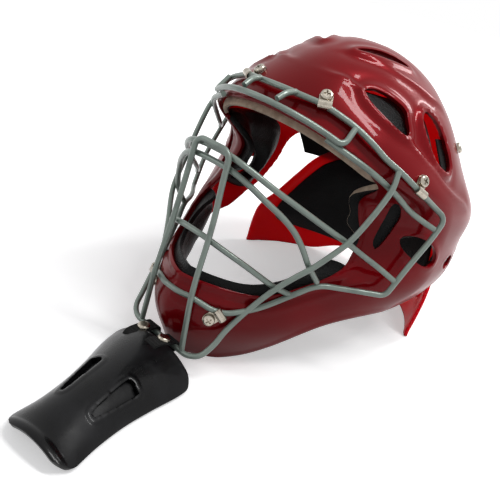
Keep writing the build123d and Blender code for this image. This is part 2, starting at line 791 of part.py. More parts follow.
# Throat guard: an arched plate on the floor, its long axis away from the face
chin_wire_point = place(0, side_bar_run[-1][1], side_bar_run[-1][2])
guard_origin = Vector(guard_shift, chin_wire_point.Y - wire_radius - guard_stand_off, 0)
guard_axis = Vector(sin(radians(guard_skew)), -cos(radians(guard_skew)), 0)
guard_across = Vector(cos(radians(guard_skew)), sin(radians(guard_skew)), 0)
edge_inset_share = 2.6
guard_stations = [
    (0.0, 1.0, 1.0), (0.15, 0.94, 1.02), (0.35, 0.79, 0.98), (0.55, 0.68, 0.88),
    (0.75, 0.66, 0.70), (0.90, 0.70, 0.56), (1.0, 0.72, 0.54),
]


def guard_face(run_share, width_share, height_share):
    """The arched section of the guard at a share of its length."""
    half = guard_top_width * width_share / 2
    height = guard_top_height * height_share
    plane = Plane(
        origin=guard_origin + guard_axis * (guard_length * run_share),
        x_dir=guard_across, z_dir=guard_axis,
    )
    with BuildSketch(plane) as section:
        with BuildLine():
            ThreePointArc((half, 0), (0, height), (-half, 0))
            Line((-half, 0), (-half + guard_wall, 0))
            ThreePointArc((-half + guard_wall, 0), (0, height - guard_wall),
                          (half - guard_wall, 0))
            Line((half - guard_wall, 0), (half, 0))
        make_face()
    return section.sketch


def strap_plane(hand):
    """The plane across a guard strap's band, square to the chin wire."""
    return Plane(
        origin=(hand * guard_strap_spacing / 2, chin_wire_point.Y, chin_wire_point.Z),
        x_dir=(0, -1, 0),
        z_dir=(-1, 0, 0),
    )


edge_run = wire_radius + guard_stand_off + edge_inset_share * guard_wall


def edge_place(plane):
    """Where a guard strap goes round the guard's top edge, in the strap's own plane."""
    edge = Vector(plane.origin.X, plane.origin.Y - edge_run, 0)
    across = (edge - guard_origin).dot(guard_across)
    arch_radius = (guard_top_width**2 / 4 + guard_top_height**2) / (2 * guard_top_height)
    rise = guard_top_height - arch_radius + sqrt(arch_radius**2 - across**2)
    return Vector(edge_run, rise - guard_wall / 2 - plane.origin.Z)


def loop_face(plane, grow):
    """The outline of a guard strap: round the wire and round the guard's top edge."""
    with BuildSketch(plane) as loop:
        Circle(wire_loop_radius + grow)
        with Locations(edge_place(plane)):
            Circle(edge_loop_radius + grow)
        make_hull()
    return loop.sketch


def band(plane, inner, outer, width):
    """A guard strap's closed band between two growths of its outline."""
    with BuildPart() as loop_band:
        extrude(loop_face(plane, outer), amount=width / 2, both=True)
        extrude(loop_face(plane, inner), amount=width, both=True, mode=Mode.SUBTRACT)
    return loop_band.part


strap_planes = [strap_plane(1), strap_plane(-1)]
with BuildPart() as throat_guard:
    loft([guard_face(*station) for station in guard_stations])
    slot_plane = Plane(origin=guard_origin, x_dir=guard_axis, z_dir=(0, 0, 1))
    with BuildSketch(slot_plane):
        with Locations((0.40 * guard_length, 0.17 * guard_top_width),
                       (0.40 * guard_length, -0.17 * guard_top_width)):
            SlotOverall(guard_slot_length, guard_slot_width)
    extrude(amount=2 * guard_top_height, mode=Mode.SUBTRACT)
    add(
        [band(plane, -strap_gap, guard_strap_thickness + strap_gap,
              guard_strap_width + 2 * strap_gap) for plane in strap_planes],
        mode=Mode.SUBTRACT,
    )
throat_guard.part.label = "throat_guard"
export_step(throat_guard.part, "parts/throat_guard.step")

for name, plane in zip(("guard_strap_left", "guard_strap_right"), strap_planes):
    guard_strap = band(plane, 0, guard_strap_thickness, guard_strap_width)
    guard_strap.label = name
    export_step(guard_strap, f"parts/{name}.step")


def snap(plane):
    """A domed snap on the upper run of a guard strap."""
    edge = edge_place(plane)
    slope = atan2(edge.Y, edge.X) + asin((edge_loop_radius - wire_loop_radius) / edge.length)
    along = plane.x_dir * cos(slope) + plane.y_dir * sin(slope)
    normal = plane.y_dir * cos(slope) - plane.x_dir * sin(slope)
    reach = wire_loop_radius + guard_strap_thickness + seat_gap
    centre = plane.origin + normal * reach + along * (edge.length / 2)
    seat_plane = Plane(origin=centre, x_dir=along, z_dir=normal)
    with BuildPart() as dome:
        with BuildSketch(seat_plane):
            Circle(snap_diameter / 2)
        extrude(amount=snap_height)
        fillet(dome.edges().sort_by(Axis(seat_plane.origin, seat_plane.z_dir))[-1],
               radius=0.7 * snap_height)
    return dome.part


snaps = Compound(children=[snap(plane) for plane in strap_planes])
snaps.label = "strap_snaps"
export_step(snaps, "parts/strap_snaps.step")
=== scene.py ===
"""The looks of a catcher helmet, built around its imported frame.

Places on the head are in millimetres on the head frame: across to the wearer's left, along to
the back, and up from the ear line. Every piece ends in the row frame, in metres.
"""

import json
import logging
import math
from dataclasses import dataclass
from enum import Enum
from itertools import combinations
from typing import Callable, Sequence

import bmesh
import bpy
import numpy as np
from mathutils import Matrix, Vector

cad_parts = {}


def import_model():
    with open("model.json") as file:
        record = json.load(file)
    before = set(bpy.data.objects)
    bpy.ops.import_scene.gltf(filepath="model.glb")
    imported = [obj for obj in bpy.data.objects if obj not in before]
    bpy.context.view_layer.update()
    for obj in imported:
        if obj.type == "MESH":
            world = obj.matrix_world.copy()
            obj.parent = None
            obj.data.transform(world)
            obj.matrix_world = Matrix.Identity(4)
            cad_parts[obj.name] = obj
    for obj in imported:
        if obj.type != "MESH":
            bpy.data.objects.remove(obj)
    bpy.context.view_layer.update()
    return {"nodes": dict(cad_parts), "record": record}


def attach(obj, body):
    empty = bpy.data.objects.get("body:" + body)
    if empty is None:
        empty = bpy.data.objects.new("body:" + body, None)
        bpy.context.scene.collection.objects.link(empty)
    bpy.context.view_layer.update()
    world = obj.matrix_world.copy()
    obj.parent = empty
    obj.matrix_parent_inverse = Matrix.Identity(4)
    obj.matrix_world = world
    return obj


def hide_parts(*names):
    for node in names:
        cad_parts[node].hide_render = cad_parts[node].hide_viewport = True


LOG = logging.getLogger("helmet")
MM = 0.001
Places = np.ndarray
Form = Callable[[np.ndarray, np.ndarray], Places]


class Slot(Enum):
    """The record's material slots."""

    SHELL = "red_shell"
    WIRE = "cage_wire"
    NICKEL = "nickel"
    PADDING = "padding"
    ELASTIC = "elastic"
    STRAP = "strap"
    BLACK = "black_gloss"


class Body(Enum):
    """The frame's bodies."""

    HELMET = "helmet"
    NAPE = "nape"
    GUARD = "guard"


# Node groups and finishes


def node(tree: bpy.types.NodeTree, kind: str, **inputs: object) -> bpy.types.Node:
    """Add a node and set its inputs.

    Args:
        tree: The node tree that gets the node.
        kind: The node's type name.
        inputs: Socket names, with spaces as underscores, and their values or source sockets.

    Returns:
        The new node.
    """
    made = tree.nodes.new(kind)
    for name, value in inputs.items():
        socket = made.inputs[name.replace("_", " ")]
        if isinstance(value, bpy.types.NodeSocket):
            tree.links.new(value, socket)
        else:
            socket.default_value = value
    return made


def maths(tree: bpy.types.NodeTree, operation: str, *values: bpy.types.NodeSocket
          ) -> bpy.types.NodeSocket:
    """Add a math node.

    Args:
        tree: The node tree.
        operation: What it does.
        values: The sockets that it works on.

    Returns:
        The result's socket.
    """
    made = tree.nodes.new("ShaderNodeMath")
    made.operation = operation
    for socket, value in zip(made.inputs, values):
        tree.links.new(value, socket)
    return made.outputs[0]


def mix_colour(tree: bpy.types.NodeTree, factor: object, low: object, high: object,
               blend: str = "MIX") -> bpy.types.NodeSocket:
    """Mix two colours in a tree.

    Args:
        tree: The node tree.
        factor: A socket or a number.
        low: The colour or socket at factor 0.
        high: The colour or socket at factor 1.
        blend: The blend type.

    Returns:
        The mixed colour's socket.
    """
    mixer = tree.nodes.new("ShaderNodeMix")
    mixer.data_type = "RGBA"
    mixer.blend_type = blend
    for index, value in ((0, factor), (6, low), (7, high)):
        if isinstance(value, bpy.types.NodeSocket):
            tree.links.new(value, mixer.inputs[index])
        else:
            mixer.inputs[index].default_value = value
    return mixer.outputs[2]


def spread(tree: bpy.types.NodeTree, value: bpy.types.NodeSocket, low: float, high: float,
           to_low: float = 0.0, to_high: float = 1.0) -> bpy.types.NodeSocket:
    """Map a value from one range to another, clamped at its ends.

    Args:
        tree: The node tree.
        value: The socket to map.
        low: The range's start.
        high: The range's end.
        to_low: The result at the start.
        to_high: The result at the end.

    Returns:
        The mapped value's socket.
    """
    ranger = node(tree, "ShaderNodeMapRange", Value=value, From_Min=low, From_Max=high,
                  To_Min=to_low, To_Max=to_high)
    return ranger.outputs["Result"]


def open_group(name: str, inputs: dict[str, float], outputs: Sequence[tuple[str, str]]
               ) -> tuple[bpy.types.NodeTree, bpy.types.Node, bpy.types.Node]:
    """Start a shader node group with float inputs.

    Args:
        name: The group's name.
        inputs: The inputs' names and default values.
        outputs: The outputs' names and socket types.

    Returns:
        The group, its input node and its output node.
    """
    group = bpy.data.node_groups.new(name, "ShaderNodeTree")
    for label, value in inputs.items():
        socket = group.interface.new_socket(label, in_out="INPUT", socket_type="NodeSocketFloat")
        socket.default_value = value
    for label, kind in outputs:
        group.interface.new_socket(label, in_out="OUTPUT", socket_type=kind)
    return group, group.nodes.new("NodeGroupInput"), group.nodes.new("NodeGroupOutput")


def wear_group() -> bpy.types.NodeTree:
    """Patches of wear and fine scratches: a mask for colour and one for roughness."""
    group, given, out = open_group(
        "wear", {"Patch Scale": 14.0, "Scratch Scale": 60.0, "Amount": 0.5},
        [("Patches", "NodeSocketFloat"), ("Scratches", "NodeSocketFloat")],
    )
    place = group.nodes.new("ShaderNodeTexCoord").outputs["Object"]
    patch = node(group, "ShaderNodeTexNoise", Vector=place, Scale=given.outputs["Patch Scale"],
                 Detail=5.0, Roughness=0.6)
    stretched = node(group, "ShaderNodeMapping", Vector=place, Scale=(1.0, 6.0, 1.6),
                     Rotation=(0.5, 0.3, 0.9))
    scratch = node(group, "ShaderNodeTexNoise", Vector=stretched.outputs["Vector"],
                   Scale=given.outputs["Scratch Scale"], Detail=2.0, Roughness=0.8)
    for mask, low, high, label in ((patch, 0.52, 0.72, "Patches"),
                                   (scratch, 0.66, 0.74, "Scratches")):
        shown = maths(group, "MULTIPLY", spread(group, mask.outputs["Fac"], low, high),
                      given.outputs["Amount"])
        group.links.new(shown, out.inputs[label])
    return group


def grain_group() -> bpy.types.NodeTree:
    """Leather-like grain: cells with soft creases, as a height."""
    group, given, out = open_group(
        "grain", {"Cell Scale": 900.0, "Crease Scale": 45.0, "Crease": 0.4},
        [("Height", "NodeSocketFloat"), ("Tone", "NodeSocketFloat")],
    )
    place = group.nodes.new("ShaderNodeTexCoord").outputs["Object"]
    cell = node(group, "ShaderNodeTexVoronoi", Vector=place, Scale=given.outputs["Cell Scale"])
    cell.feature = "F1"
    crease = node(group, "ShaderNodeTexNoise", Vector=place, Scale=given.outputs["Crease Scale"],
                  Detail=4.0, Roughness=0.55, Distortion=0.6)
    height = maths(group, "MULTIPLY_ADD", crease.outputs["Fac"], given.outputs["Crease"],
                   cell.outputs["Distance"])
    group.links.new(height, out.inputs["Height"])
    group.links.new(spread(group, crease.outputs["Fac"], 0.35, 0.75), out.inputs["Tone"])
    return group


def weave_group() -> bpy.types.NodeTree:
    """A plain weave on the object's own coordinates, as a height and a tone."""
    group, given, out = open_group(
        "weave", {"Thread Scale": 420.0},
        [("Height", "NodeSocketFloat"), ("Tone", "NodeSocketFloat")],
    )
    place = group.nodes.new("ShaderNodeTexCoord").outputs["Object"]
    heights = []
    for direction in ("X", "Z"):
        wave = node(group, "ShaderNodeTexWave", Vector=place, Scale=given.outputs["Thread Scale"],
                    Distortion=0.4, Detail=1.0)
        wave.bands_direction = direction
        heights.append(wave.outputs["Fac"])
    crossed = maths(group, "MULTIPLY", *heights)
    group.links.new(crossed, out.inputs["Height"])
    group.links.new(spread(group, crossed, 0.0, 0.8), out.inputs["Tone"])
    return group


@dataclass(frozen=True)
class Groups:
    """The shared shader node groups."""

    wear: bpy.types.NodeTree
    grain: bpy.types.NodeTree
    weave: bpy.types.NodeTree


class Finish:
    """A finish, with its shader and the nodes that vary it."""

    def __init__(self, name: str, rough: float, metal: float = 0.0, coat: float = 0.0,
                 coat_rough: float = 0.03, sheen: float = 0.0, specular: float = 0.5) -> None:
        """Start a finish with the values that are the same all over it.

        Args:
            name: The material's name.
            rough: Base roughness.
            metal: How metallic it is.
            coat: Weight of the clear coat.
            coat_rough: Roughness of the clear coat.
            sheen: Weight of the sheen.
            specular: Specular level.
        """
        self.material = bpy.data.materials.new(name)
        self.material.use_nodes = True
        self.tree = self.material.node_tree
        self.shader = self.tree.nodes["Principled BSDF"]
        for socket, value in (("Roughness", rough), ("Metallic", metal), ("Coat Weight", coat),
                              ("Coat Roughness", coat_rough), ("Sheen Weight", sheen),
                              ("Specular IOR Level", specular)):
            self.shader.inputs[socket].default_value = value

    def group(self, group: bpy.types.NodeTree, **inputs: float) -> bpy.types.Node:
        """Place a shared group.

        Args:
            group: The group.
            inputs: Its input values.

        Returns:
            The group's node.
        """
        placed = self.tree.nodes.new("ShaderNodeGroup")
        placed.node_tree = group
        for name, value in inputs.items():
            placed.inputs[name.replace("_", " ")].default_value = value
        return placed

    def noise(self, scale: float, detail: float = 3.0) -> bpy.types.NodeSocket:
        """A noise on the object's own coordinates.

        Args:
            scale: The noise's scale.
            detail: Its detail.

        Returns:
            The noise's value socket.
        """
        place = self.tree.nodes.new("ShaderNodeTexCoord").outputs["Object"]
        made = node(self.tree, "ShaderNodeTexNoise", Vector=place, Scale=scale, Detail=detail)
        return made.outputs["Fac"]

    def colour(self, factor: object, low: Sequence[float], high: Sequence[float]) -> None:
        """Vary the base colour between two colours by a factor socket."""
        mixed = mix_colour(self.tree, factor, (*low, 1.0), (*high, 1.0))
        self.tree.links.new(mixed, self.shader.inputs["Base Color"])

    def roughness(self, factor: bpy.types.NodeSocket, low: float, high: float) -> None:
        """Vary the roughness between two values by a factor socket."""
        self.tree.links.new(spread(self.tree, factor, 0.0, 1.0, low, high),
                            self.shader.inputs["Roughness"])

    def bump(self, height: bpy.types.NodeSocket, strength: float, distance: float) -> None:
        """Raise the surface's detail by a height socket."""
        made = node(self.tree, "ShaderNodeBump", Height=height, Strength=strength,
                    Distance=distance)
        self.tree.links.new(made.outputs["Normal"], self.shader.inputs["Normal"])


def shell_lacquer(groups: Groups, name: str, dark: Sequence[float], bright: Sequence[float],
                  rough: float, coat: float, metal: float = 0.0, glow: float = 0.0
                  ) -> bpy.types.Material:
    """Deep red lacquer over a faint metallic ground; with brighter reds it also makes painted-lit
    copies of the shell's red.

    Args:
        groups: The shared node groups.
        name: The material's name.
        dark: The darker red.
        bright: The brighter red.
        rough: Roughness of the ground.
        coat: Weight of the clear coat.
        metal: How metallic the ground is.
        glow: How much light the plastic lets through.

    Returns:
        The material.
    """
    finish = Finish(name, rough, metal=metal, coat=coat, coat_rough=0.05, specular=0.08)
    finish.shader.inputs["Specular Tint"].default_value = (0.6, 0.12, 0.14, 1.0)
    finish.shader.inputs["Subsurface Weight"].default_value = glow
    finish.shader.inputs["Subsurface Scale"].default_value = 0.02
    finish.colour(spread(finish.tree, finish.noise(9.0, 2.0), 0.3, 0.7), dark, bright)
    wear = finish.group(groups.wear, Patch_Scale=22.0, Scratch_Scale=90.0, Amount=0.5)
    finish.roughness(wear.outputs["Scratches"], rough, rough + 0.3)
    finish.bump(finish.noise(420.0, 2.0), 0.02, 0.0004)
    return finish.material


def wire_paint(groups: Groups) -> bpy.types.Material:
    """Grey-green paint on the cage wires, rubbed through in a few spots."""
    finish = Finish("wire_paint", 0.34, metal=0.25, coat=0.25, coat_rough=0.16, specular=0.3)
    wear = finish.group(groups.wear, Patch_Scale=55.0, Scratch_Scale=240.0, Amount=0.6)
    finish.colour(wear.outputs["Patches"], (0.225, 0.275, 0.24), (0.12, 0.145, 0.13))
    finish.roughness(wear.outputs["Patches"], 0.3, 0.5)
    finish.bump(finish.noise(700.0), 0.12, 0.0004)
    return finish.material


def nickel_plate(groups: Groups) -> bpy.types.Material:
    """Bright nickel on screws, clips and snaps, with dull spots."""
    finish = Finish("nickel_plate", 0.3, metal=1.0)
    wear = finish.group(groups.wear, Patch_Scale=160.0, Scratch_Scale=500.0, Amount=1.0)
    finish.colour(wear.outputs["Patches"], (0.42, 0.38, 0.32), (0.20, 0.17, 0.13))
    finish.roughness(wear.outputs["Scratches"], 0.26, 0.55)
    finish.bump(finish.noise(900.0), 0.06, 0.0003)
    return finish.material


def pad_cover(groups: Groups) -> bpy.types.Material:
    """Black vinyl over the pads, with a leather grain and soft creases."""
    finish = Finish("pad_cover", 0.45, specular=0.12)
    grain = finish.group(groups.grain, Cell_Scale=900.0, Crease_Scale=60.0, Crease=1.2)
    finish.colour(grain.outputs["Tone"], (0.0015, 0.0015, 0.0015), (0.005, 0.005, 0.0055))
    finish.roughness(grain.outputs["Tone"], 0.34, 0.56)
    finish.bump(grain.outputs["Height"], 0.35, 0.0012)
    return finish.material


def foam_edge() -> bpy.types.Material:
    """The beige cut edge of the foam, with its pores."""
    finish = Finish("foam_edge", 0.9, sheen=0.2, specular=0.2)
    finish.colour(spread(finish.tree, finish.noise(160.0, 6.0), 0.35, 0.68),
                  (0.52, 0.38, 0.27), (0.82, 0.66, 0.50))
    finish.bump(finish.noise(900.0, 4.0), 0.5, 0.0010)
    return finish.material


def webbing(groups: Groups, name: str, low: Sequence[float], high: Sequence[float],
            threads: float) -> bpy.types.Material:
    """Woven black webbing or elastic.

    Args:
        groups: The shared node groups.
        name: The material's name.
        low: The colour between the threads.
        high: The colour on the threads.
        threads: The weave's scale.

    Returns:
        The material.
    """
    finish = Finish(name, 0.75, sheen=0.04, specular=0.12)
    weave = finish.group(groups.weave, Thread_Scale=threads)
    finish.colour(weave.outputs["Tone"], low, high)
    finish.bump(weave.outputs["Height"], 0.6, 0.0008)
    return finish.material


def guard_plastic(groups: Groups) -> bpy.types.Material:
    """Glossy black plastic of the throat guard, scuffed by use."""
    finish = Finish("guard_plastic", 0.3, coat=0.1, coat_rough=0.08, specular=0.15)
    wear = finish.group(groups.wear, Patch_Scale=26.0, Scratch_Scale=120.0, Amount=0.8)
    finish.colour(wear.outputs["Patches"], (0.002, 0.002, 0.0025), (0.008, 0.008, 0.0095))
    finish.roughness(wear.outputs["Patches"], 0.26, 0.5)
    finish.bump(finish.noise(60.0, 3.0), 0.06, 0.003)
    return finish.material


@dataclass
class Finishes:
    """Every finish of the helmet, built once."""

    shell: bpy.types.Material
    inner_shell: bpy.types.Material
    nape: bpy.types.Material
    wire: bpy.types.Material
    nickel: bpy.types.Material
    cover: bpy.types.Material
    foam: bpy.types.Material
    elastic: bpy.types.Material
    strap: bpy.types.Material
    guard: bpy.types.Material

    @classmethod
    def build(cls) -> "Finishes":
        """Build the node groups and all finishes."""
        groups = Groups(wear_group(), grain_group(), weave_group())
        return cls(
            shell=shell_lacquer(groups, "shell_lacquer", (0.15, 0.0006, 0.0025),
                                (0.235, 0.001, 0.005), 0.3, 0.22, 0.12),
            # The inner side and the nape plate get brighter copies of the shell's red: painted
            # light standing in for light shining through the plastic. The subsurface glow itself
            # is real.
            inner_shell=shell_lacquer(groups, "inner_shell_plastic", (0.62, 0.003, 0.012),
                                      (0.78, 0.006, 0.018), 0.45, 0.08, glow=0.7),
            nape=shell_lacquer(groups, "nape_red_painted_lit", (0.74, 0.003, 0.013),
                               (0.9, 0.007, 0.022), 0.38, 0.12, glow=1.0),
            wire=wire_paint(groups),
            nickel=nickel_plate(groups),
            cover=pad_cover(groups),
            foam=foam_edge(),
            elastic=webbing(groups, "elastic_weave", (0.004, 0.004, 0.004),
                            (0.03, 0.03, 0.03), 700.0),
            strap=webbing(groups, "strap_web", (0.003, 0.003, 0.003), (0.02, 0.02, 0.02), 900.0),
            guard=guard_plastic(groups),
        )


# Outlines and forms


def catmull(points: Sequence[Sequence[float]], closed: bool, steps: int = 10) -> Places:
    """A smooth line through points.

    Args:
        points: The points.
        closed: Whether the line closes on itself.
        steps: Steps between two points.

    Returns:
        The line's points.
    """
    knots = np.array(points, float)
    if closed:
        knots = np.vstack([knots[-1:], knots, knots[:2]])
    else:
        knots = np.vstack([2 * knots[0] - knots[1], knots, 2 * knots[-1] - knots[-2]])
    share = np.linspace(0, 1, steps, endpoint=False)[:, None]
    runs = []
    for before, start, end, after in zip(knots, knots[1:], knots[2:], knots[3:]):
        runs.append(0.5 * (2 * start + (end - before) * share
                           + (2 * before - 5 * start + 4 * end - after) * share**2
                           + (3 * start - before - 3 * end + after) * share**3))
    if not closed:
        runs.append(knots[-2:-1])
    return np.vstack(runs)


def distance_to(places: Places, line: Places, closed: bool) -> np.ndarray:
    """The distance from flat places to a line.

    Args:
        places: Places in a plane.
        line: The line's points.
        closed: Whether the line is an outline; then places inside it are negative.

    Returns:
        One distance for each place.
    """
    start = line if closed else line[:-1]
    end = np.roll(line, -1, axis=0) if closed else line[1:]
    run = end - start
    length = np.maximum((run**2).sum(1), 1e-9)
    nearest = np.full(len(places), 1e9)
    inside = np.zeros(len(places), bool)
    for begin, finish, step, square in zip(start, end, run, length):
        share = np.clip(((places - begin) @ step) / square, 0, 1)
        nearest = np.minimum(nearest, ((places - begin - share[:, None] * step)**2).sum(1))
        crosses = (begin[1] > places[:, 1]) != (finish[1] > places[:, 1])
        with np.errstate(divide="ignore", invalid="ignore"):
            edge = begin[0] + (places[:, 1] - begin[1]) / (finish[1] - begin[1]) * step[0]
        inside ^= crosses & (places[:, 0] < edge)
    nearest = np.sqrt(nearest)
    return np.where(inside, -nearest, nearest) if closed else nearest


def ramp(value: np.ndarray) -> np.ndarray:
    """A smooth step from zero to one."""
    return 1 / (1 + np.exp(-np.clip(value, -40, 40)))


def soft(value: np.ndarray) -> np.ndarray:
    """A smooth ramp that starts at zero."""
    return np.log1p(np.exp(np.clip(value, -40, 40)))


def power(value: np.ndarray, exponent: np.ndarray) -> np.ndarray:
    """A power that keeps the value's sign."""
    return np.sign(value) * np.abs(value)**exponent


def on_left(places: Places) -> Places:
    """Places mirrored on to the wearer's left side."""
    return np.column_stack([np.abs(places[:, 0]), places[:, 1:]])


def bell(value: np.ndarray, middle: float, width: float) -> np.ndarray:
    """A smooth bump that is one at its middle."""
    return np.exp(-((value - middle) / width)**2)


@dataclass(frozen=True)
class Head:
    """The head frame and the head forms, in millimetres."""

    tilt: float = math.radians(7.0)
    setback: float = 137.78
    height: float = 133.013
    half_width: float = 112.0
    reach: float = 138.0
    crown: float = 91.0
    widest_drop: float = 79.0
    ear_setback: float = 5.0
    temple_bulge: float = 5.0
    jaw_taper: float = 5.44
    jaw_setback: float = 6.0
    hollow_setback: float = 12.0
    hollow_depth: float = 78.0
    chin_reach: float = 10.0
    back_bend: float = 2.2
    nape_half_width: float = 106.0
    nape_reach: float = 128.0
    nape_rise: float = 210.0
    nape_widest_drop: float = 85.0

    def to_row(self, places: Places) -> Places:
        """Head places in millimetres as row places in metres."""
        across, along, up = places.T
        lean, upright = math.sin(self.tilt), math.cos(self.tilt)
        return MM * np.column_stack([
            across, self.setback + along * upright + up * lean,
            self.height - along * lean + up * upright,
        ])

    @property
    def rise(self) -> float:
        """The dome's rise over its widest level."""
        return self.crown + self.widest_drop

    def shell(self, turn: np.ndarray, sweep: np.ndarray, inset: float = 0.0) -> Places:
        """Points of the front shell's form.

        Args:
            turn: Angle from the front round to the left.
            sweep: Angle up the dome from its widest level.
            inset: How far inside the outer surface.

        Returns:
            Places on the head.
        """
        grown = self.rise * np.sin(sweep)
        level = grown - self.widest_drop
        share = level / 100
        rounding = np.sqrt(np.maximum(0, 1 - (grown / self.rise)**2))
        half = self.half_width * rounding + self.temple_bulge * bell(share, 0.02, 0.24)
        half -= self.jaw_taper * soft((-0.62 - share) / 0.08)
        hollow = ramp((0.045 - share) / 0.065) * ramp((share + 0.615) / 0.065)
        middle = self.ear_setback + self.hollow_setback * hollow
        middle -= self.jaw_setback * soft((-0.80 - share) / 0.08)
        chin = self.chin_reach * bell(share, -1.16, 0.24)
        front = self.ear_setback - self.reach * rounding - chin + self.hollow_depth * hollow
        back = self.ear_setback + self.reach * rounding
        bend = 1.3 + 0.7 * ramp((share + 0.58) / 0.06) + 0.42 * ramp((-0.94 - share) / 0.10)
        ahead = np.cos(turn) >= 0
        bend = np.where(ahead, bend, self.back_bend)
        depth = np.where(ahead, middle - front, back - middle) - inset
        pole = np.clip((self.rise - grown) / 0.6, 0, 1)
        return np.column_stack([
            (half - inset) * pole * power(np.sin(turn), 2 / bend),
            middle - depth * power(np.cos(turn), 2 / bend) * pole,
            grown * (1 - inset / self.rise) - self.widest_drop,
        ])

    def nape(self, turn: np.ndarray, level: np.ndarray, inset: float = 0.0) -> Places:
        """Points of the nape plate's form.

        Args:
            turn: Angle from the front round to the left.
            level: Height from the ear line.
            inset: How far inside the outer surface.

        Returns:
            Places on the head.
        """
        rounding = np.sqrt(1 - ((level + self.nape_widest_drop) / self.nape_rise)**2)
        across, along = (power(part(turn), 2 / self.back_bend) for part in (np.sin, np.cos))
        return np.column_stack([
            (self.nape_half_width * rounding - inset) * across,
            self.ear_setback - (self.nape_reach * rounding - inset) * along,
            level,
        ])


HEAD = Head()


@dataclass(frozen=True)
class SideOutline:
    """An outline seen from the side of the head, in hundreds of millimetres."""

    smooth: tuple[tuple[float, float], ...]
    corners: tuple[tuple[float, float], ...] = ()
    closed: bool = False

    def gap(self, places: Places) -> np.ndarray:
        """The distance of head places from the outline, negative inside it."""
        line = 100 * catmull(self.smooth, self.closed)
        if self.corners:
            line = np.vstack([line, 100 * np.array(self.corners)])
        return distance_to(places[:, 1:], line, True)


@dataclass(frozen=True)
class FaceOutline:
    """An outline on its own plane against the head, in hundreds of millimetres, on both sides."""

    points: tuple[tuple[float, float, float], ...]
    depth: float = 22.0

    def axes(self) -> tuple[Places, Places, Places, Places]:
        """The plane's centre, its two directions and its outward normal."""
        corners = 100 * np.array(self.points)
        centre = corners.mean(0)
        after = np.roll(corners, -1, axis=0)
        normal = np.cross(corners - centre, after - centre).sum(0)
        normal /= np.linalg.norm(normal)
        normal *= np.sign(normal @ centre)
        first = np.cross((0.0, 0.0, 1.0), normal)
        first /= np.linalg.norm(first)
        return centre, first, np.cross(normal, first), normal

    def gap(self, places: Places) -> np.ndarray:
        """The distance of head places from the outline, negative inside it."""
        centre, first, second, normal = self.axes()
        drawn = 100 * np.array(self.points) - centre
        line = catmull(np.column_stack([drawn @ first, drawn @ second]), True)
        offset = on_left(places) - centre
        flat = distance_to(np.column_stack([offset @ first, offset @ second]), line, True)
        return np.where(np.abs(offset @ normal) < self.depth, flat, 99.0)


@dataclass(frozen=True)
class Crease:
    """A line on the shell along which its surface steps out on one side."""

    points: tuple[tuple[float, float, float], ...]
    height: float
    reach: float
    bead: float = 0.0
    sharpness: float = 0.9

    def rise(self, places: Places) -> np.ndarray:
        """How far each head place is raised by the crease."""
        line = 100 * catmull(self.points, False)
        middle = line[len(line) // 2]
        normal = middle * (1.0, 1.0, 1.2)
        normal /= np.linalg.norm(normal)
        run = line[-1] - line[0]
        run -= normal * (run @ normal)
        run /= np.linalg.norm(run)
        side = np.cross(normal, run)
        offset = on_left(places) - middle
        flat = np.column_stack([offset @ run, offset @ side])
        drawn = np.column_stack([(line - middle) @ run, (line - middle) @ side])
        gap = distance_to(flat, drawn, False)
        level = np.interp(flat[:, 0], drawn[:, 0], drawn[:, 1])
        above = flat[:, 1] - level
        ends = ramp((flat[:, 0] - drawn[0, 0]) / 4) * ramp((drawn[-1, 0] - flat[:, 0]) / 4)
        near = np.exp(-np.maximum(gap, 0) / self.reach)
        step = self.height * ramp(above / self.sharpness) * near
        step += self.bead * bell(above, -2.4, 2.2)
        return step * ends * (np.abs(offset @ normal) < 40)


